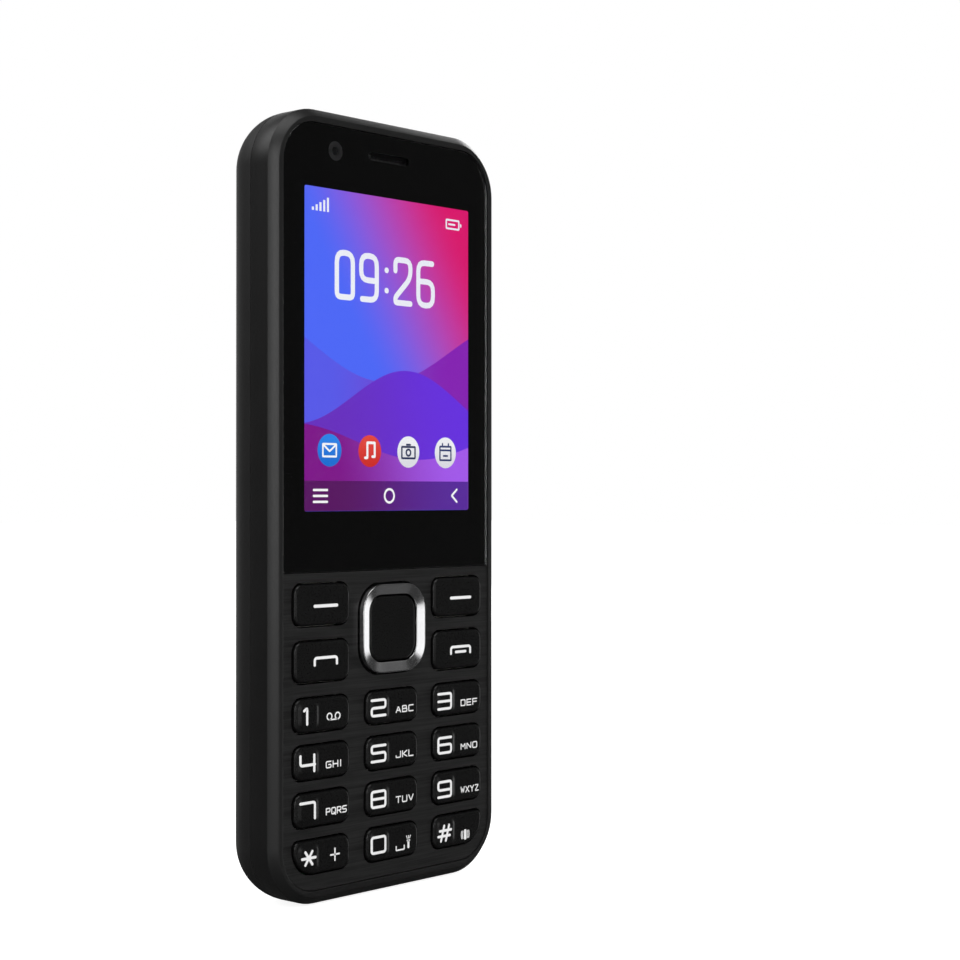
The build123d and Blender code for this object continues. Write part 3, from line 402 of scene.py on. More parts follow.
def by_nodes(tree, mesh, finish, settings):
    """Ends a Geometry Nodes tree with this mesh, and gives what it makes of its settings as a form in mm."""
    solid = put(tree, "GeometryNodeRealizeInstances", {"Geometry": mesh})
    coated = put(tree, "GeometryNodeSetMaterial", {"Geometry": solid, "Material": finish})
    put(tree, "NodeGroupOutput", {"Geometry": coated})
    holder = bpy.data.objects.new(tree.name, bpy.data.meshes.new(tree.name))
    scene.collection.objects.link(holder)
    maker = holder.modifiers.new(tree.name, "NODES")
    maker.node_group = tree
    for socket in tree.interface.items_tree:
        if socket.name in settings:
            maker[socket.identifier] = settings[socket.name]
    made = bpy.data.meshes.new_from_object(holder.evaluated_get(bpy.context.evaluated_depsgraph_get()))
    holder.modifiers.remove(maker)
    bpy.data.objects.remove(holder)
    form = bmesh.new()
    form.from_mesh(made)
    return form


gauze_w, gauze_h, gauze_pitch, wire_t, wire_sides, gauze_d = 9.2, 1.7, 0.28, 0.12, 6, 0.85
gauze, given = node_tree("wire_gauze", Width="Float", Height="Float", Pitch="Float", Wire="Float")
across = worked(gauze, "DIVIDE", given["Width"], given["Pitch"])
along = worked(gauze, "DIVIDE", given["Height"], given["Pitch"])
grid = put(gauze, "GeometryNodeMeshGrid", {"Size X": given["Width"], "Size Y": given["Height"],
                                           "Vertices X": across, "Vertices Y": along})
upright = put(gauze, "GeometryNodeTransform", {"Geometry": grid, "Rotation": (math.pi / 2, 0, 0)})
runs = put(gauze, "GeometryNodeSplitEdges", {"Mesh": upright})
wires = put(gauze, "GeometryNodeMeshToCurve", {"Mesh": runs})
section = put(gauze, "GeometryNodeCurvePrimitiveCircle", {"Resolution": wire_sides, "Radius": given["Wire"]})
tubes = put(gauze, "GeometryNodeCurveToMesh", {"Curve": wires, "Profile Curve": section, "Fill Caps": True})
# Blackened steel wire: nearly no light comes back out of the slot.
gauze_wire = moulded("blackened_wire", "#050505", "#080808", 0.6, 0.1, 0.001)
gauze_form = by_nodes(gauze, tubes, gauze_wire, {"Width": gauze_w, "Height": gauze_h, "Pitch": gauze_pitch,
                                                 "Wire": wire_t / 2})
bmesh.ops.translate(gauze_form, verts=gauze_form.verts, vec=(slot_shape[0], gauze_d, slot_shape[1]))
piece("earpiece_gauze", gauze_form, "phone", gauze_wire, "mesh_black", "earpiece_mesh")


# Front camera: a satin surround pressed behind the clear spot in the border, and the small domed
# front glass of its lens in the middle.
def filled(form, shape, steps):
    """Adds a solid skinned through its outlines, with both ends filled; gives back the form."""
    rings = skinned(form, shape, steps)
    net(form, [rings[-1]])
    net(form, [rings[0]])
    return form


surround_steps = [(0, 0.03), (0.06, 0), (0.78, 0.02), (0.82, 0.3), (0.86, 0.3), (0.86, 0.5), (0, 0.5)]
surround = bmesh.new()
skinned(surround, eye_shape, [(inset, border_d + behind) for inset, behind in surround_steps], closed=True)
# Satin ABS behind the lens: a grey ring a little lighter than the border, its grey partly painted light.
# Painted light: the ring is lighter than the ABS's own grey, for the light that the clear lens keeps from it.
surround_abs = moulded("camera_surround_abs_painted_light", "#4a4a4a", "#535353", 0.5, 0.15, 0.002)
piece("front_camera_surround", surround, "phone", surround_abs, "optics_black")
glass_r = 0.72
dome = [(0, 0.5), (0, 0.4), (0.05, 0.27), (0.14, 0.18), (0.28, 0.1), (0.44, 0.06), (0.6, 0.045)]
pupil_steps = [(inset, border_d + behind) for inset, behind in dome]
pupil = filled(bmesh.new(), circle(eye_x, eye_z, glass_r), pupil_steps)
# Coated lens glass: a black pupil with a small sharp glint.
coated_glass = moulded("coated_camera_glass", "#020203", "#040408", 0.05, 0.5, 0.0002, 1.6)
piece("front_camera_glass", pupil, "phone", coated_glass, "optics_black")


# Number keys, side keys and centre key: moulded black caps with rounded edges. A number key swells a
# little where its digit stands. Each sits on a stem and a plunger behind the plate.
col_pitch, row_pitch, number_top_z = 15.05, 7.1, 28.65
key_w, number_h, key_r, upper_r, block_r = 11.4, 5.1, 1.6, 1.0, 4.0
cap_front, cap_foot, cap_edge, cap_step, cap_margin = -0.3, 2.2, 0.42, 0.25, 0.12
pad_w, pad_h, pad_left, pad_r, pad_rise, pad_soft = 4.35, 4.2, 0.6, 1.0, 0.15, 0.65
stem_w, stem_less, stem_r, stem_foot, plunger_r, plunger_foot = 3.4, 0.4, 0.2, 2.6, 1.5, 2.95
# Satin key ABS: blacker and glossier than the plate, with a fine light line round each cap.
key_abs = moulded("satin_black_key_abs", "#080808", "#0b0b0b", 0.3, 0.18, 0.003, 1.46)
key_shapes, key_pads = {}, {}


def smooth(low, high, value):
    """Goes from 0 at low to 1 at high, gently at both ends."""
    t = min(max((value - low) / (high - low), 0), 1)
    return t * t * (3 - 2 * t)


def swell(pad, x, z):
    """How far a digit pad stands up at a point."""
    return pad_rise * smooth(0, pad_soft, -reach(pad, x, z)) if pad else 0.0


def cap(shape, front, foot, pad=None):
    """A key cap with rounded edges and, where it has one, a softly raised digit pad."""
    form = bmesh.new()
    top_inset = cap_edge + edge_support
    steps = [(0, foot)] + quarter_round(front, cap_edge, 5) + [(top_inset, front)]
    rings = skinned(form, shape, steps, per_side=12)
    x, z, width, height, _ = shape
    xs = [x - width / 2 + cap_step * i for i in range(int(width / cap_step) + 1)]
    zs = [z - height / 2 + cap_step * i for i in range(int(height / cap_step) + 1)]
    top = grown(shape, -top_inset)
    inside = [(px, pz) for px in xs for pz in zs if reach(top, px, pz) < -cap_margin]
    net(form, [rings[-1]], [(px, front - swell(pad, px, pz), pz) for px, pz in inside])
    net(form, [rings[0]])
    return form


def key(name, shape, pad=None):
    """A key: its cap, the stem behind the plate and the round plunger over its snap dome."""
    x, z, _, height, _ = shape
    form = cap(shape, cap_front, cap_foot, pad)
    filled(form, (x, z, stem_w, height - stem_less, [stem_r] * 4), [(0, cap_foot), (0, stem_foot)])
    filled(form, circle(x, z, plunger_r), [(0, stem_foot), (0, plunger_foot)])
    piece(name + "_cap", form, name, key_abs, "key_black", name)
    key_shapes[name], key_pads[name] = shape, pad


number_names = ["key_%d" % n for n in range(1, 10)] + ["key_star", "key_0", "key_hash"]
foot_corners = {"key_star": [key_r, upper_r, block_r, key_r], "key_hash": [upper_r, key_r, key_r, block_r]}
for index, name in enumerate(number_names):
    x, z = (index % 3 - 1) * col_pitch, number_top_z - index // 3 * row_pitch
    pad = (x - key_w / 2 + pad_left + pad_w / 2, z, pad_w, pad_h, [pad_r] * 4)
    key(name, (x, z, key_w, number_h, foot_corners.get(name, [key_r] * 4)), pad)

soft_z, soft_h, call_z, call_h = 45.225, 6.25, 36.65, 6.15
for name, side, z, height in (("soft_key_left", -1, soft_z, soft_h), ("soft_key_right", 1, soft_z, soft_h),
                              ("call_key", -1, call_z, call_h), ("end_key", 1, call_z, call_h)):
    key(name, (side * col_pitch, z, key_w, height, [key_r] * 4))

nav_z, ok_w, ok_r, ok_front, ok_foot = (soft_z + call_z) / 2, 10.2, 2.5, -0.35, 1.51
skirt_w, skirt_r, skirt_foot, pin_r, pin_foot = 11.25, 3.5, 1.91, 1.2, 3.35
ok_form = cap((0, nav_z, ok_w, ok_w, [ok_r] * 4), ok_front, ok_foot)
filled(ok_form, (0, nav_z, skirt_w, skirt_w, [skirt_r] * 4), [(0, ok_foot), (0, skirt_foot)])
filled(ok_form, circle(0, nav_z, pin_r), [(0, skirt_foot), (0, pin_foot)])
piece("ok_key_cap", ok_form, "ok_key", key_abs, "key_black", "ok_key")


# Key legends: white ink pad-printed on the caps, a few hundredths thick. Squared digits on the raised
# pads, the standard letter groups beside them, and plain signs on the other keys.
ink_t, ink_step, ink_reach, layer_lift, corner_share = 0.03, 0.3, 0.7, 0.004, 0.45
digit_line, digit_corner, digit_h = 0.42, 0.42, 2.42
letter_line, letter_corner, letter_h, letter_left = 0.18, 0.2, 0.92, 6.44
# Pad-print ink: an even, flat white.
legend_ink = moulded("white_pad_print", "#e9e9e9", "#f2f2f2", 0.5, 0.2, 0.002)
digits = {
    "1": [[(0.25, 0.84), (0.46, 1), (0.46, 0)]],
    "2": [[(0, 1), (1, 1), (1, 0.5), (0, 0.5), (0, 0), (1, 0)]],
    "3": [[(0, 1), (1, 1), (1, 0), (0, 0)], [(0, 0.5), (0.9, 0.5)]],
    "4": [[(0, 1), (0, 0.4), (1, 0.4)], [(0.95, 1), (0.95, 0)]],
    "5": [[(1, 1), (0, 1), (0, 0.54), (1, 0.54), (1, 0), (0, 0)]],
    "6": [[(1, 1), (0, 1), (0, 0), (1, 0), (1, 0.54), (0.1, 0.54)]],
    "7": [[(0, 1), (1, 1), (1, 0)]],
    "8": [[(0, 0), (1, 0), (1, 1), (0, 1), (0, 0)], [(0.1, 0.52), (0.9, 0.52)]],
    "9": [[(0.9, 0.46), (0, 0.46), (0, 1), (1, 1), (1, 0), (0, 0)]],
    "0": [[(0, 0), (1, 0), (1, 1), (0, 1), (0, 0)]],
    "star": [[(0.12, 0.5), (1.04, 0.5)], [(0.34, 0.1), (0.82, 0.9)], [(0.34, 0.9), (0.82, 0.1)]],
    "hash": [[(0.2, 0.0), (0.46, 1.0)], [(0.58, 0.0), (0.84, 1.0)], [(0.1, 0.68), (1, 0.68)],
             [(0, 0.32), (0.9, 0.32)]],
}
letters = {
    "A": [[(0, 0), (0.5, 1), (1, 0)], [(0.2, 0.33), (0.8, 0.33)]],
    "B": [[(0, 1), (0.9, 1), (0.9, 0.53), (0, 0.53)], [(0, 0.53), (1, 0.53), (1, 0), (0, 0)],
          [(0, 0), (0, 1)]],
    "C": [[(1, 1), (0, 1), (0, 0), (1, 0)]],
    "D": [[(0, 1), (1, 1), (1, 0), (0, 0)], [(0, 0), (0, 1)]],
    "E": [[(0, 1), (1, 1)], [(0, 0), (1, 0)], [(0, 0.5), (0.9, 0.5)], [(0, 0), (0, 1)]],
    "F": [[(0, 1), (1, 1)], [(0, 0.5), (0.9, 0.5)], [(0, 0), (0, 1)]],
    "G": [[(1, 1), (0, 1), (0, 0), (1, 0), (1, 0.5), (0.5, 0.5)]],
    "H": [[(0, 0), (0, 1)], [(1, 0), (1, 1)], [(0, 0.5), (1, 0.5)]],
    "I": [[(0.15, 0), (0.15, 1)]],
    "J": [[(1, 1), (1, 0), (0, 0), (0, 0.3)]],
    "K": [[(0, 0), (0, 1)], [(1, 1), (0.15, 0.5), (1, 0)]],
    "L": [[(0, 0), (1, 0)], [(0, 1), (0, 0)]],
    "M": [[(0, 0), (0, 1), (0.5, 0.35), (1, 1), (1, 0)]],
    "N": [[(0, 0), (0, 1), (1, 0), (1, 1)]],
    "O": [[(0, 0), (1, 0), (1, 1), (0, 1), (0, 0)]],
    "P": [[(0, 1), (1, 1), (1, 0.45), (0, 0.45)], [(0, 0), (0, 1)]],
    "Q": [[(0, 0), (1, 0), (1, 1), (0, 1), (0, 0)], [(0.6, 0.25), (1.0, -0.15)]],
    "R": [[(0, 1), (1, 1), (1, 0.45), (0, 0.45)], [(0, 0), (0, 1)], [(0.45, 0.45), (1, 0)]],
    "S": [[(1, 1), (0, 1), (0, 0.5), (1, 0.5), (1, 0), (0, 0)]],
    "T": [[(0, 1), (1, 1)], [(0.5, 1), (0.5, 0)]],
    "U": [[(0, 1), (0, 0), (1, 0), (1, 1)]],
    "V": [[(0, 1), (0.5, 0), (1, 1)]],
    "W": [[(0, 1), (0.25, 0), (0.5, 0.75), (0.75, 0), (1, 1)]],
    "X": [[(0, 0), (1, 1)], [(0, 1), (1, 0)]],
    "Y": [[(0, 1), (0.5, 0.48), (1, 1)], [(0.5, 0.48), (0.5, 0)]],
    "Z": [[(0, 1), (1, 1), (0, 0), (1, 0)]],
}
groups = {"2": "ABC", "3": "DEF", "4": "GHI", "5": "JKL", "6": "MNO", "7": "PQRS", "8": "TUV", "9": "WXYZ"}


def rounded(path, radius):
    """A path with its inner corners turned into short arcs."""
    points = [Vector(p) for p in path]
    if (points[0] - points[-1]).length < 1e-6:
        middle = (points[0] + points[1]) / 2
        points = [middle] + points[1:-1] + [points[0], middle]
    made = [points[0]]
    for before, corner, after in zip(points, points[1:], points[2:]):
        into, out = (before - corner), (after - corner)
        r = min(radius, into.length * corner_share, out.length * corner_share)
        start, end = corner + into.normalized() * r, corner + out.normalized() * r
        shares = (0, 0.25, 0.5, 0.75, 1)
        made += [(1 - t) ** 2 * start + 2 * t * (1 - t) * corner + t * t * end for t in shares]
    return made + [points[-1]]


def shifted(path, x, z):
    """A path moved sideways and up."""
    return [Vector((x + px, z + pz)) for px, pz in path]


def ring_path(x, z, r, parts=24):
    """A circle as a closed path."""
    turns = [2 * math.pi * k / parts for k in range(parts + 1)]
    return [(x + r * math.cos(t), z + r * math.sin(t)) for t in turns]


def stroke(form, path, line, depth_at, lift=0.0):
    """One inked stroke with round ends, laid on a surface whose depth is given at each point."""
    closed = (path[0] - path[-1]).length < 1e-6
    dense = [path[0]]
    for a, b in zip(path, path[1:]):
        parts = max(1, round((b - a).length / ink_step))
        dense += [a + (b - a) * k / parts for k in range(1, parts + 1)]
    near = [(px * line * ink_reach, pz * line * ink_reach) for px in (-1, 0, 1) for pz in (-1, 0, 1)]

    def laid(p):
        return form.verts.new((p.x, min(depth_at(p.x + dx, p.y + dz) for dx, dz in near) - lift, p.y))

    pairs = []
    for i, point in enumerate(dense):
        before = dense[i - 1] if i else (dense[-2] if closed else None)
        after = dense[i + 1] if i + 1 < len(dense) else (dense[1] if closed else None)
        legs = ((before, point), (point, after))
        ways = [(b - a).normalized() for a, b in legs if a is not None and b is not None]
        along = sum(ways, Vector((0, 0))).normalized()
        across = Vector((-along.y, along.x)) * line / 2 / max(along.dot(ways[0]), 0.5)
        pairs.append((laid(point + across), laid(point - across)))
    for a, b in zip(pairs, pairs[1:]):
        form.faces.new((a[0], a[1], b[1], b[0]))
    if closed:
        return
    for point, other, pair in ((dense[-1], dense[-2], pairs[-1]), (dense[0], dense[1], pairs[0][::-1])):
        along = (point - other).normalized()
        across = Vector((-along.y, along.x))
        turns = [math.pi * k / 6 for k in range(1, 6)]
        arc = [laid(point + (across * math.cos(t) + along * math.sin(t)) * line / 2) for t in turns]
        form.faces.new([pair[0]] + arc + [pair[1]])


def thickened(form, thickness):
    """Gives flat inked shapes their thickness, from their face back towards the cap."""
    bmesh.ops.remove_doubles(form, verts=form.verts, dist=0.001)
    made = bmesh.ops.extrude_face_region(form, geom=form.faces[:])
    moving = [g for g in made["geom"] if isinstance(g, bmesh.types.BMVert)]
    bmesh.ops.translate(form, verts=moving, vec=(0, thickness, 0))
    return form


def cap_face(pad):
    """The depth of the ink's face on a cap, as a function of the point."""
    def depth(px, pz):
        return cap_front - swell(pad, px, pz) - ink_t
    return depth


def lettered(form, paths, corner_at, size, rounding, line, face):
    """Inks a digit or a letter that is drawn in a unit square; each later stroke lies a hair higher."""
    for layer, path in enumerate(paths):
        path = [(corner_at[0] + px * size[0], corner_at[1] + pz * size[1]) for px, pz in path]
        stroke(form, rounded(path, rounding), line, face, layer * layer_lift)


wave = [(0.1 * math.sin(math.pi * k / 4), 0.3 * k) for k in range(5)]
cup = rounded([(-1.8, 0.2), (-1.8, -0.4), (0, -0.4), (0, 0.2)], 0.1)
# Each sign: the line widths and the paths of its strokes, from a point beside the digit.
signs = {
    "1": [(0.2, ring_path(-1.15, 0.62, 0.5, 20)), (0.2, ring_path(0.55, 0.62, 0.5, 20)),
          (0.2, [(-1.15, 0.12), (0.55, 0.12)])],
    "star": [(0.26, [(-0.9, 0.9), (0.9, 0.9)]), (0.26, [(0, 0), (0, 1.8)])],
    "0": [(0.22, cup), (0.42, [(0.95, -0.2), (0.95, 0.75)]), (0.3, [(0.72, 0.85), (1.18, 0.85)])] +
         [(0.14, [(0.95 + lean * 0.6, 1.2), (0.95 + lean, 1.6)]) for lean in (-0.45, 0, 0.45)],
    "hash": [(0.62, [(-0.8, -0.35), (-0.8, 0.75)])] +
            [(0.14, [(-0.8 + way * (gap + swing), -0.4 + rise) for swing, rise in wave])
             for way in (-1, 1) for gap in (0.55, 0.85)],
}
sign_right, sign_drop, print_share = 2.55, 1.08, 0.9
# The left column's digits stand a little further in, and the right column's print sits lower.
for name in number_names:
    x, z = key_shapes[name][:2]
    face = cap_face(key_pads[name])
    mark = name.split("_")[1]
    group = groups.get(mark, "")
    form = bmesh.new()
    digit_left, digit_w = (1.02, 2.95) if x < -1 else (0.92, 2.98)
    drop = 0.2 if x > 1 else 0.0
    cap_left, side_z = x - key_w / 2, z - sign_drop - drop
    digit_at = (cap_left + digit_left, z - digit_h / 2 - drop)
    lettered(form, digits[mark], digit_at, (digit_w, digit_h), digit_corner, digit_line, face)
    pitch, letter_w = (1.14, 0.78) if len(group) == 4 else (1.42, 0.98)
    for place, letter in enumerate(group):
        letter_at = (cap_left + letter_left + place * pitch, side_z)
        lettered(form, letters[letter], letter_at, (letter_w, letter_h), letter_corner, letter_line, face)
    for line, path in signs.get(mark, []):
        stroke(form, shifted(path, x + sign_right, side_z), line, face)
    piece(name + "_legend", thickened(form, ink_t * print_share), name, legend_ink, "key_black")

arch = [(-2.3, -0.5), (-2.3, 0.55), (2.3, 0.55), (2.3, -0.5)]
dash = [(-2.3, 0), (2.3, 0)]
side_right, side_corner = 0.65, 0.6
side_signs = {"soft_key_left": ([dash], 0.48, 0.2), "soft_key_right": ([dash], 0.48, 0.2),
              "call_key": ([arch], 0.43, 0.0),
              "end_key": ([arch, [(-1.15, -0.28), (1.15, -0.28)]], 0.43, 0.15)}
for name, (paths, line, drop) in side_signs.items():
    x, z = key_shapes[name][:2]
    form = bmesh.new()
    for path in paths:
        stroke(form, rounded(shifted(path, x + side_right, z - drop), side_corner), line, cap_face(None))
    piece(name + "_legend", thickened(form, ink_t * print_share), name, legend_ink, "key_black")


# Navigation ring: a plated frame round the centre key, its face sloping outwards between two fine
# turned edges, with a flange that holds it behind the plate. Satin nickel over moulded ABS.
ring_w, ring_r, ring_band, ring_crest, ring_back = 14.05, 4.4, 1.775, -0.68, 2.91
ring_slope, ring_ease, crest_in, draft, wall_top = math.radians(14), 0.115, 0.22, 0.02, 0.4
flange_w, flange_r, flange_front = 1.35, ring_r + 0.68, 2.51
ring_shape = (0, nav_z, ring_w, ring_w, [ring_r] * 4)
turns = [math.radians(t) for t in (180, 155, 130, 105, 80)]
crest = [(crest_in + ring_ease * math.cos(t), ring_crest - ring_ease * math.sin(t)) for t in turns]
face_w = ring_band - ring_ease - crest[-1][0] + ring_ease * math.cos(turns[-1])
foot = (crest[-1][0] + face_w, crest[-1][1] + face_w * math.tan(ring_slope))
edge_middle = (foot[0] - ring_ease * math.cos(turns[-1]), foot[1] + ring_ease * math.sin(turns[-1]))
inner = [(edge_middle[0] + ring_ease * math.cos(t), edge_middle[1] - ring_ease * math.sin(t))
         for t in [math.radians(d) for d in (55, 30, 0)]]
ends = [(crest[-1][0] + face_w * k, crest[-1][1] + face_w * k * math.tan(ring_slope)) for k in (0.04, 0.96)]
profile = [(0, ring_back), (draft, wall_top)] + crest + ends + [foot] + inner + [(ring_band, ring_back)]
ring_form = bmesh.new()
skinned(ring_form, ring_shape, profile, per_side=4, closed=True)
flange_shape = (0, nav_z, ring_w + flange_w, ring_w + flange_w, [flange_r] * 4)
flange_steps = [(0, flange_front), (0, ring_back), (flange_w, ring_back), (flange_w, flange_front)]
skinned(ring_form, flange_shape, flange_steps, per_side=4, closed=True)
# Satin nickel: a bright metal whose shine is faintly uneven.
nickel, tree, shader, where = started("satin_nickel_plate")
gloss = ranged(tree, noise(tree, where, 0.6, 2.0), 0.0, 1.0, 0.13, 0.19)
feed(tree, shader, {"Roughness": gloss, "Base Color": linear("#d9d9da"), "Metallic": 1.0})
piece("nav_ring_frame", ring_form, "nav_ring", nickel, "ring_silver", "nav_ring")


# Keypad fascia: a thin plate bonded into the lower recess with an opening for every key. Dark, with
# fine hairlines brushed across it under a matt varnish.
fascia_top_z, fascia_low_z, fascia_front, fascia_back, fascia_ease = 50.04, 2.16, 0.15, 1.13, 0.08
key_gap, ring_gap, hairline_long, hairline_fine = 0.25, 0.22, 14.0, 0.22
fascia_shape = (0, (fascia_top_z + fascia_low_z) / 2, panel_w, fascia_top_z - fascia_low_z,
                [square_r, square_r, panel_r, panel_r])
openings = [grown(shape, key_gap) for shape in key_shapes.values()] + [grown(ring_shape, ring_gap)]
# Brushed black: long fine lines, each a little lighter and shinier or darker and duller than the next.
brushed, tree, shader, where = started("hairline_brushed_black")
drawn_out = (1000 / hairline_long, 1.0, 1000 / hairline_fine)
along_lines = put(tree, "ShaderNodeMapping", {"Vector": where, "Scale": drawn_out})
hairs = {"Vector": along_lines, "Scale": 1.0, "Detail": 4.0, "Roughness": 0.65}
lines = put(tree, "ShaderNodeTexNoise", hairs)
tint = ramp(tree, lines, (0.38, "#080808"), (0.66, "#252525"))
relief = put(tree, "ShaderNodeBump", {"Height": lines, "Distance": 0.00001, "Strength": 0.8})
gloss = ranged(tree, lines, 0.35, 0.65, 0.48, 0.34)
feed(tree, shader, {"Base Color": tint, "Normal": relief, "Roughness": gloss})
piece("fascia_plate", plate(fascia_shape, openings, fascia_front, fascia_back, fascia_ease), "phone", brushed,
      "fascia_brushed", "keypad_fascia")


# Display: a glass panel in a white tray behind the lens window. It shows a plain home screen of the
# phone's own: soft hills in blue, magenta and violet, a clock and a row of plain signs.
def dress(finish, *names):
    """Gives CAD pieces that keep their shape their finish."""
    for name in names:
        for material_slot in nodes[name].material_slots:
            material_slot.material = finish


# Display glass: black and glossy where no picture lies on it.
display_glass = moulded("black_display_glass", "#050505", "#070707", 0.12, 0.4, 0.0005, 1.52)
dress(display_glass, "display_panel")
sheet_t, sheet_gap, glyph_lift, screen_glow = 0.008, 0.01, 0.0005, 1.08
picture_lap = 0.1
left_x, right_x = active[0] - active[2] / 2 - picture_lap, active[0] + active[2] / 2 + picture_lap
foot_z, head_z = active[1] - active[3] / 2, active[1] + active[3] / 2
picture_d = border_d + 0.06
bar_d, icon_d, glyph_d = picture_d - 0.035, picture_d - 0.04, picture_d - 0.05


def lit(name, low_colour, high_colour, low, high):
    """A lit picture area whose colour runs between two points, given in mm as (x, z)."""
    finish, tree, shader, where = started(name)
    along = Vector((high[0] - low[0], high[1] - low[1]))
    slope = along / along.length_squared * 1000
    start = -(low[0] * slope.x + low[1] * slope.y) / 1000
    share = worked(tree, "ADD", dotted(tree, where, (slope.x, 0, slope.y)), start)
    share.use_clamp = True
    tint = ramp(tree, share, (0.0, low_colour), (1.0, high_colour))
    tint.color_ramp.interpolation = "EASE"
    feed(tree, shader, {"Emission Color": tint, "Emission Strength": screen_glow,
                        "Base Color": linear("#050505"), "Roughness": 0.4})
    return finish


def area(loop, depth):
    """A flat lit area inside one border, as a thin sheet."""
    form = bmesh.new()
    form.faces.new([form.verts.new((px, depth, pz)) for px, pz in loop])
    return thickened(form, sheet_t)


def hill(base, swing, length, shift, depth):
    """A hill across the picture: a wave line above, the picture's foot below."""
    count = 48
    xs = [left_x + (right_x - left_x) * i / count for i in range(count + 1)]
    tops = [(x, base + swing * math.sin((x + shift) / length * 2 * math.pi)) for x in xs]
    form = bmesh.new()
    high = [form.verts.new((x, depth, z)) for x, z in tops]
    low = [form.verts.new((x, depth, foot_z)) for x in xs]
    for i in range(count):
        form.faces.new((low[i], low[i + 1], high[i + 1], high[i]))
    return thickened(form, sheet_t)


def box_path(half, low, high):
    """A rectangle as a closed path, from half its width, its foot and its head."""
    return [(-half, low), (half, low), (half, high), (-half, high), (-half, low)]


def drawn(name, finish, paths, line, corner, x=0, z=0):
    """A lit line drawing on the picture, its paths given from the point (x, z)."""
    form = bmesh.new()
    for layer, path in enumerate(paths):
        stroke(form, rounded(shifted(path, x, z), corner), line, lambda px, pz: glyph_d, layer * glyph_lift)
    piece(name, thickened(form, sheet_t), "phone", finish, "display")


piece("screen_sky", area(outline(grown(active, picture_lap)), picture_d), "phone",
      lit("lit_sky", "#4f6bff", "#e2106e", (-8, 88), (17, 104)), "display")
# Each hill: base, swing, length and shift of its wave, then two colours and the points they stand at.
hills = [("far", 85, 5.5, 62, -14, "#5a5cf0", "#8a1fb8", (-14, 84), (14, 84)),
         ("mid", 77, 4.5, 48, 8, "#6b2fc4", "#6a30e6", (-14, 74), (16, 80)),
         ("near", 70, 2.6, 54, -20, "#82108c", "#a95cf2", (-12, 62), (16, 68))]
for order, (name, base, swing, length, shift, *tones) in enumerate(hills, 1):
    hill_form = hill(base, swing, length, shift, picture_d - sheet_gap * order)
    piece("screen_%s_hill" % name, hill_form, "phone", lit("lit_%s_hill" % name, *tones), "display")
bar_h = 4.6
bar_z = foot_z + bar_h / 2
piece("screen_foot_bar", area(outline((0, bar_z, right_x - left_x, bar_h, [square_r] * 4)), bar_d), "phone",
      lit("lit_foot_bar", "#5a0f62", "#5b2a9e", (-12, 60), (16, 60)), "display")

icon_z, icon_pitch, icon_r = 68.6, 8.6, 2.5
lit_white = lit("lit_white", "#ffffff", "#f2f4ff", (-10, 64), (16, 100))
lit_dark = lit("lit_dark_glyph", "#1f2a54", "#2b3970", (4, 67), (16, 70))
# Each icon: name, the two tones of its disc, then its drawing's finish, line, rounding and paths.
icons = [("envelope", "#1a70d6", "#2c88f0", lit_white, 0.3, 0.1,
          [box_path(1.4, -0.95, 0.95), [(-1.4, 0.9), (0, -0.15), (1.4, 0.9)]]),
         ("note", "#d42c24", "#ec4a40", lit_white, 0.42, 0.05,
          [[(-0.55, -1.0), (-0.55, 1.3), (1.05, 1.3), (1.05, -0.8)], [(-1.05, -1.05), (-0.6, -1.05)],
           [(0.55, -0.85), (1.0, -0.85)]]),
         ("camera", "#e4e4ea", "#fafafc", lit_dark, 0.32, 0.1,
          [box_path(1.5, -1.0, 0.8), ring_path(0, -0.1, 0.5), [(-0.4, 1.15), (0.4, 1.15)]]),
         ("calendar", "#e4e4ea", "#fafafc", lit_dark, 0.3, 0.1,
          [box_path(1.3, -1.2, 1.0), [(-1.3, 0.4), (1.3, 0.4)], [(-0.7, 1.0), (-0.7, 1.45)],
           [(0.7, 1.0), (0.7, 1.45)], [(-0.45, -0.5), (0.45, -0.5)]])]
for place, (name, low_tone, high_tone, finish, line, corner, paths) in enumerate(icons):
    x = (place - 1.5) * icon_pitch
    tone = lit("lit_icon_%d" % place, low_tone, high_tone, (0, icon_z - icon_r), (0, icon_z + icon_r))
    disc = area(outline(circle(x, icon_z, icon_r)), icon_d)
    piece("screen_icon_%d" % place, disc, "phone", tone, "display")
    drawn("screen_" + name, finish, paths, line, corner, x, icon_z)
menu_lines = [[(-16.2, k), (-13.4, k)] for k in (-0.9, 0, 0.9)]
back_arrow = [(15.6, 1.0), (14.4, 0), (15.6, -1.0)]
drawn("screen_foot_glyphs", lit_white, menu_lines + [ring_path(0, 0, 1.05), back_arrow], 0.36, 0.1, 0, bar_z)

round_digits = {
    "0": [[(0, 0), (1, 0), (1, 1), (0, 1), (0, 0)]],
    "2": [[(0, 0.74), (0, 1), (1, 1), (1, 0.6), (0, 0.12), (0, 0), (1, 0)]],
    "6": [[(0.95, 1), (0, 1), (0, 0), (1, 0), (1, 0.56), (0.06, 0.56)]],
    "9": [[(0.05, 0), (1, 0), (1, 1), (0, 1), (0, 0.44), (0.94, 0.44)]],
}
clock_left, clock_low, clock_w, clock_h, clock_pitch = -11.4, 92.2, 3.4, 6.8, 5.2
dot_x = 2 * clock_pitch + 0.35
clock_marks = ((0, "0"), (1, "9"), (2.45, "2"), (3.45, "6"))
clock_paths = [[(place * clock_pitch + px * clock_w, pz * clock_h) for px, pz in path]
               for place, mark in clock_marks for path in round_digits[mark]]
clock_paths += [[(dot_x, rise), (dot_x + 0.05, rise)] for rise in (1.7, 4.9)]
drawn("screen_clock", lit_white, clock_paths, 0.9, 1.6, clock_left, clock_low)
battery_x, head_row = 14.6, head_z - 2.6
battery_paths = [box_path(1.5, -0.7, 0.7), [(-0.9, 0), (0.5, 0)], [(1.95, -0.15), (1.95, 0.15)]]
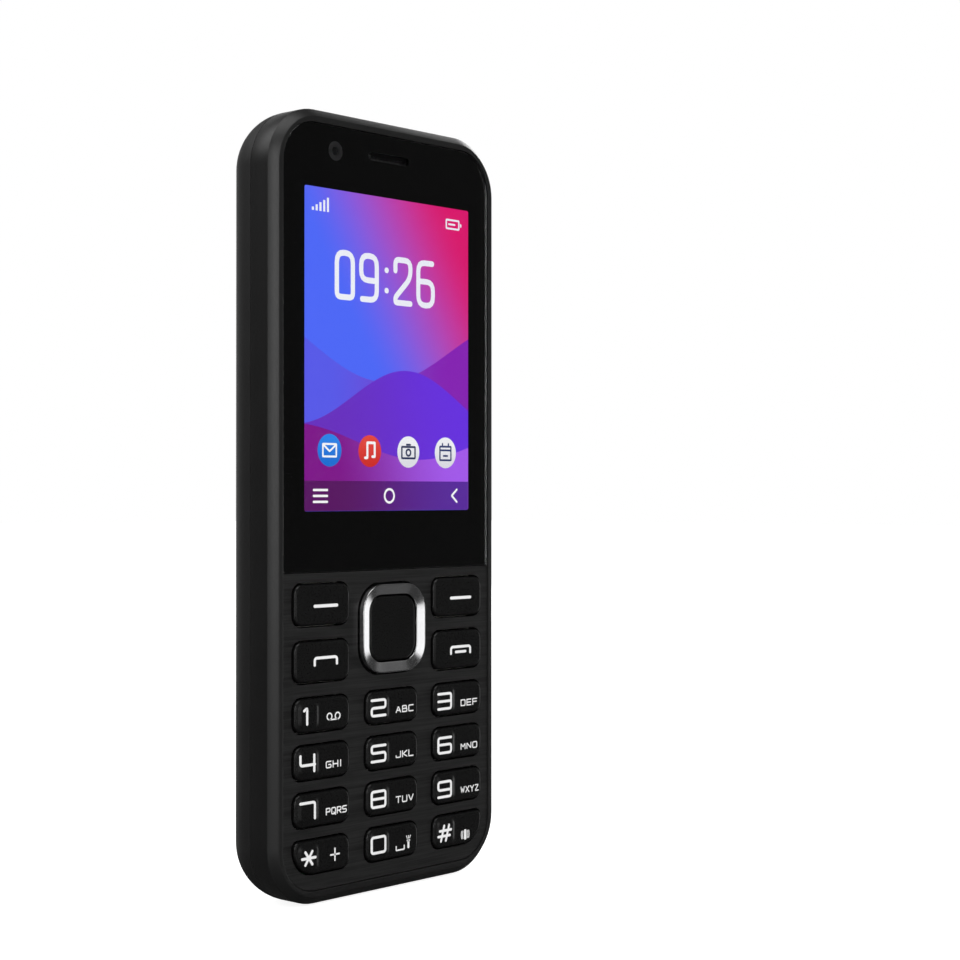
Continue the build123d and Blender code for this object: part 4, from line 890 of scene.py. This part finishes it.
drawn("screen_battery", lit_white, battery_paths, 0.3, 0.15, battery_x, head_row)

signal_x, signal_z = -16.4, head_row - 1.0
bar_count, bar_pitch, bar_w, bar_low, bar_rise = 5, 0.78, 0.42, 0.5, 0.42
ladder, given = node_tree("signal_ladder", Count="Int", Pitch="Float", Width="Float", Lowest="Float",
                          Rise="Float")
step = put(ladder, "ShaderNodeCombineXYZ", {"X": given["Pitch"]})
row = put(ladder, "GeometryNodeMeshLine", {"Count": given["Count"], "Offset": step})
bar = put(ladder, "GeometryNodeMeshCube", {"Size": (1.0, sheet_t, 1.0)})
raised = put(ladder, "GeometryNodeTransform", {"Geometry": bar, "Translation": (0, 0, 0.5)})
place = put(ladder, "GeometryNodeInputIndex")
tall = worked(ladder, "MULTIPLY_ADD", place, given["Rise"], given["Lowest"])
size = put(ladder, "ShaderNodeCombineXYZ", {"X": given["Width"], "Y": 1.0, "Z": tall})
bars = put(ladder, "GeometryNodeInstanceOnPoints", {"Points": row, "Instance": raised, "Scale": size})
signal = by_nodes(ladder, bars, lit_white, {"Count": bar_count, "Pitch": bar_pitch, "Width": bar_w,
                                            "Lowest": bar_low, "Rise": bar_rise})
bmesh.ops.translate(signal, verts=signal.verts, vec=(signal_x, glyph_d, signal_z))
piece("screen_signal", signal, "phone", lit_white, "display")


# Back cover: a deep shell that snaps over the back, moulded in charcoal polycarbonate. Its back is
# pressed with rows of small three-cornered pockets that run out towards the rounded edges.
body_shape = (0, 60.15, 49.7, 120.3, [9.2] * 4)
cover_round, back_d, net_inset, rim_ease, optics_z = 8.3, 13.5, 2.2, 0.15, 99.1
pill_shape, disc_hole = (-8.3, optics_z, 17.1, 9.5, [4.75] * 4), circle(11.75, optics_z, 4.6)
pocket_pitch, pocket_row, pocket_w, pocket_h = 1.9, 1.71, 1.62, 1.15
pocket_wall, pocket_ramp, pocket_depth = 0.07, 0.4, 0.14
field_w, field_h, keep_off, hole_margin, cell_w = 46, 116, 1.05, 0.3, 2
fade_from, fade_to, fade_least, size_least = 3.4, 7.0, 0.08, 0.45
net_insets, net_parts = (2.8, 3.5, 4.3, 5.2, 6.2, 7.2, 8.3), 60
level_gap, rim_gap, face_gap, cut_gap, sliver_area = 0.001, 0.02, 0.01, 0.2, 0.0005
tongue_out, tongue_in, tongue_front, tongue_back = 0.45, 1.2, 5.0, 5.07


def round_depth(inset):
    """Depth of the cover's outer face so far in from its outline: rounded at first, then flat."""
    lean = max(cover_round - inset, 0)
    return back_d - cover_round + math.sqrt(max(cover_round ** 2 - lean ** 2, 0))


def back_depth(x, z):
    """Depth of the cover's outer face at a point."""
    return round_depth(-reach(body_shape, x, z))


def on_back(face, gap):
    """Whether a face of the CAD mesh lies on the cover's outer face, within a gap."""
    return all(abs(v.co.y - back_depth(v.co.x, v.co.z)) < gap for v in face.verts)


def on_rim(edge):
    """Whether an edge runs round the foot of the cover's outer wall."""
    return all(v.co.y < rim_d + level_gap and abs(reach(body_shape, v.co.x, v.co.z)) < rim_gap
               for v in edge.verts)


def open_loops(form):
    """The rows of vertices round a form's openings."""
    rim = dict.fromkeys(e for e in form.edges if len(e.link_faces) == 1)
    loops = []
    while rim:
        edge = next(iter(rim))
        loop = [edge.verts[0]]
        while edge is not None:
            del rim[edge]
            loop.append(edge.other_vert(loop[-1]))
            edge = next((e for e in loop[-1].link_edges if e in rim), None)
        loops.append(loop[:-1] if loop[0] == loop[-1] else loop)
    return loops


# The outer face is cut out of the CAD shell, and a net through all the pockets takes its place.
cover = merged("back_cover")
rim_d = min(v.co.y for v in cover.verts)
bevelled(cover, [e for e in cover.edges if on_rim(e)], rim_ease)
outer = [f for f in cover.faces if on_back(f, face_gap)]
cut_d = round_depth(net_inset)
around = list(dict.fromkeys(e for f in outer for e in f.edges))
around += list(dict.fromkeys(v for f in outer for v in f.verts))
bmesh.ops.bisect_plane(cover, geom=outer + around, plane_co=(0, cut_d, 0), plane_no=(0, 1, 0), dist=1e-5)
lid = [f for f in cover.faces if f.calc_center_median().y > cut_d - 1e-4 and on_back(f, cut_gap)]
bmesh.ops.delete(cover, geom=lid, context="FACES")
borders = open_loops(cover)
points, ties, near = [], [], {}
rows, columns = int(field_h / pocket_row), int(field_w / pocket_pitch)
for row in range(rows):
    for column in range(columns):
        x = (column - (columns - 1) / 2) * pocket_pitch + (pocket_pitch / 2 if row % 2 else 0)
        z = body_shape[1] + (row - (rows - 1) / 2) * pocket_row
        fade = smooth(fade_from, fade_to, -reach(body_shape, x, z))
        if fade < fade_least or min(reach(pill_shape, x, z), reach(disc_hole, x, z)) < keep_off:
            continue
        size = size_least + (1 - size_least) * fade
        half_w, half_h = pocket_w * size / 2, pocket_h * size / 2
        bed_w = half_w * (1 - pocket_ramp / pocket_h) - pocket_wall
        bed_top, bed_low = z + half_h - pocket_ramp * size, z - half_h + 1.5 * pocket_wall
        mouth = [(x - half_w, z + half_h), (x, z - half_h), (x + half_w, z + half_h)]
        bed = [(x - bed_w, bed_top), (x, bed_low), (x + bed_w, bed_top)]
        first = len(points)
        points += [(px, back_depth(px, pz), pz) for px, pz in mouth]
        points += [(px, back_depth(px, pz) - pocket_depth * fade, pz) for px, pz in bed]
        ties += [(first + k + ring, first + (k + 1) % 3 + ring) for ring in (0, 3) for k in range(3)]
        near.setdefault((round(x / cell_w), round(z / cell_w)), []).append((x, z))
for inset in net_insets:
    for px, pz in outline(grown(body_shape, -inset), per_side=net_parts):
        column, row = round(px / cell_w), round(pz / cell_w)
        cells = [(column + i, row + j) for i in (-1, 0, 1) for j in (-1, 0, 1)]
        free = all(math.hypot(px - x, pz - z) > keep_off for cell in cells for x, z in near.get(cell, []))
        if free and min(reach(pill_shape, px, pz), reach(disc_hole, px, pz)) > hole_margin:
            points.append((px, back_depth(px, pz), pz))
net(cover, borders, points, ties)
crowded = [f for e in cover.edges if len(e.link_faces) > 2 for f in e.link_faces]
slivers = {f for f in crowded if f.calc_area() < sliver_area}
bmesh.ops.delete(cover, geom=list(slivers), context="FACES")
# Charcoal polycarbonate: matt and a little lighter than the housing, with a wide dull sheen.
charcoal = moulded("matt_charcoal_polycarbonate", "#141414", "#181818", 0.56, 0.2, 0.004, 1.58)
piece("cover_shell", cover, "back_cover", charcoal, "cover_charcoal", "back_cover")
# The housing's low tongue stands in the seam and keeps light from passing through it.
tongue = bmesh.new()
tongue_steps = [(tongue_out, tongue_front), (tongue_out, tongue_back),
                (tongue_in, tongue_back), (tongue_in, tongue_front)]
skinned(tongue, body_shape, tongue_steps, closed=True)
piece("seam_tongue", tongue, "phone", satin_abs, "housing_black")


# Camera pill: a moulded frame round a dark window, which the lens barrel and the flash look through.
# Gloss black acrylic, its edges rounded so that they catch a line of light.
rear_eye_x, rear_eye_r, rear_glass_r, glass_sunk = -12.15, 1.55, 0.7, 0.05
flash_x, phosphor_r = -4.45, 1.65
# Polished acrylic: a deep black mirror with hardly any texture.
gloss_black = moulded("gloss_black_acrylic", "#050505", "#070707", 0.06, 0.6, 0.0003, 1.49)
# The frame is a little duller, so that it shows grey against the window.
bezel_abs = moulded("satin_gloss_bezel_abs", "#101010", "#141414", 0.24, 0.3, 0.001)
bezel = eased(merged("camera_bezel"), moulded_ease)
piece("bezel_frame", bezel, "phone", bezel_abs, "bezel_black", "camera_bezel")
dress(gloss_black, "camera_window", "rear_camera", "front_camera")
rear_ring = bmesh.new()
rear_steps = [(0, 0.45), (0, 0.08), (0.05, 0.05), (0.78, 0.07), (0.82, 0.3), (0.88, 0.45)]
rear_steps = [(inset, back_d - sunk) for inset, sunk in rear_steps]
skinned(rear_ring, circle(rear_eye_x, optics_z, rear_eye_r), rear_steps, closed=True)
# Satin ABS ring round the lens, a shade lighter than the window.
lens_ring_abs = moulded("lens_ring_abs", "#161616", "#1b1b1b", 0.45, 0.15, 0.002)
piece("rear_camera_ring", rear_ring, "phone", lens_ring_abs, "optics_black")
rear_dome = [(inset, back_d - glass_sunk - behind) for inset, behind in dome]
rear_pupil = filled(bmesh.new(), circle(rear_eye_x, optics_z, rear_glass_r), rear_dome)
piece("rear_camera_glass", rear_pupil, "phone", coated_glass, "optics_black")

# Flash lens: a clear moulded cap over yellow phosphor, yellow in the middle and pale at its rim.
flash_lens, tree, shader, where = started("phosphor_under_clear_cap")
flat = put(tree, "ShaderNodeVectorMath", {0: where, 1: (1, 0, 1)}, operation="MULTIPLY")
flash_at = (flash_x / 1000, 0, optics_z / 1000)
away = put(tree, "ShaderNodeVectorMath", {0: flat, 1: flash_at}, operation="DISTANCE").outputs["Value"]
spread = worked(tree, "MULTIPLY", away, 1000 / phosphor_r)
patchy = worked(tree, "MULTIPLY_ADD", noise(tree, where, 0.8, 2.0), 0.3, spread)
tint = ramp(tree, patchy, (0.2, "#f7ee2c"), (1.0, "#fbf6e0"), (0.6, "#efe08a"))
feed(tree, shader, {"Base Color": tint, "Roughness": 0.12})
dress(flash_lens, "flash_led")


# Speaker disc: a domed moulded cap that sits on the loudspeaker, sunk in its hole in the cover. The
# sound leaves through the gap round its edge.
disc_x, disc_r, disc_crown, disc_edge, disc_foot = 11.75, 3.7, 12.6, 12.25, 11.8
disc_steps = [(0, disc_foot), (0, disc_edge - 0.2), (0.03, disc_edge - 0.1), (0.1, disc_edge - 0.02)]
shares = [k / 10 for k in range(9, 0, -1)]
crown = [(disc_r * (1 - k), disc_crown - (disc_crown - disc_edge) * k ** 2) for k in shares]
disc = filled(bmesh.new(), circle(disc_x, optics_z, disc_r), disc_steps + crown)
# Gloss charcoal ABS: a smoky mirror, lighter than the camera's window.
disc_abs = moulded("gloss_charcoal_abs", "#161616", "#1a1a1a", 0.1, 0.5, 0.0004)
piece("speaker_disc_cap", disc, "phone", disc_abs, "bezel_black", "speaker_disc")


# Display tray, ribbon and acoustic pieces: a white polycarbonate tray, an amber polyimide film, and
# small coated steel cases that are pressed into their seats.
dress(moulded("white_tray_polycarbonate", "#d6d6d4", "#e2e2e0", 0.5, 0.3, 0.003), "display_tray")
dress(moulded("amber_polyimide_film", "#8a4a12", "#a8621e", 0.3, 0.5, 0.002), "display_ribbon")
speaker_case = moulded("coated_speaker_case", "#4a4b4d", "#565759", 0.45, 0.2, 0.003)
dress(speaker_case, "earpiece_receiver", "loudspeaker", "microphone")


# Keymat, dome film and rocker: a moulded sheet and rocker of milky silicone, over a clear polyester
# film that holds the snap domes on the board.
dress(moulded("milky_silicone", "#bdbcb6", "#cfcec8", 0.62, 0.25, 0.004, 1.43), "keymat", "nav_rocker")
dress(moulded("polyester_dome_film", "#c9c9c4", "#d8d8d2", 0.22, 0.8, 0.001), "dome_sheet")


# Main board: glass-epoxy board in green resist, with runs of copper just showing under it and small
# bare gilt pads. The runs are drawn wider than real ones, so that they show.
run_mm, pad_mm, pad_reach = 5.0, 2.6, 0.13
resist, tree, shader, where = started("green_solder_resist")
runs = put(tree, "ShaderNodeTexBrick", {"Vector": where, "Scale": 1000 / run_mm, "Mortar Size": 0.04,
                                        "Color1": linear("#0c3a20"), "Color2": linear("#0f4426"),
                                        "Mortar": linear("#1b6438")})
pads = put(tree, "ShaderNodeTexVoronoi", {"Vector": where, "Scale": 1000 / pad_mm, "Randomness": 0.5})
bare = worked(tree, "LESS_THAN", pads, pad_reach)
gilded = {"Factor": bare, 6: runs, 7: linear("#c9a14a")}
tint = put(tree, "ShaderNodeMix", gilded, data_type="RGBA").outputs[2]
gloss = ranged(tree, pads, 0.0, 1.0, 0.28, 0.42)
feed(tree, shader, {"Base Color": tint, "Metallic": bare, "Roughness": gloss})
dress(resist, "main_board")


# Shield cans, card sockets, charging socket, motor and screws: stamped or turned steel, tinned or
# nickel plated, with a faint unevenness. The weight is dull sintered tungsten.
def rolled(name, colour, light_colour, roughness, grain_mm):
    """Sheet metal: a fine grain breaks up its shine, and its colour is faintly stained."""
    finish = moulded(name, colour, light_colour, roughness, grain_mm, 0.001)
    finish.node_tree.nodes["Principled BSDF"].inputs["Metallic"].default_value = 1.0
    return finish


dress(rolled("tinned_steel", "#a4a4a2", "#b9b9b7", 0.32, 0.3), "shield_cans", "sim_sockets", "card_socket")
dress(rolled("nickel_plated_steel", "#b4b2ac", "#c6c4be", 0.24, 0.25), "usb_socket", "vibration_motor")
dress(rolled("zinc_plated_screw", "#8f9194", "#a6a8ab", 0.35, 0.12), "chassis_screws")
dress(rolled("sintered_tungsten", "#5d5e60", "#6e6f71", 0.55, 0.15), "motor_weight")


# Rear chassis, connectors and antenna: glass-filled black nylon mouldings screwed over the board, and
# a stamped brass antenna heat-staked to the chassis.
dress(moulded("glass_filled_nylon", "#121212", "#191919", 0.58, 0.3, 0.008), "rear_chassis")
dress(moulded("connector_polymer", "#0e0e0e", "#131313", 0.45, 0.2, 0.003), "battery_connector", "audio_jack")
dress(rolled("stamped_brass", "#b08a46", "#c49d58", 0.3, 0.25), "antenna")


# Battery: a drawn aluminium can in a grey printed film, wrapped and shrunk tight. It lies loose in its
# bay in the chassis, held by the cover and the springs of its connector.
dress(moulded("grey_shrink_film", "#34373b", "#3f4347", 0.36, 0.7, 0.004), "battery")
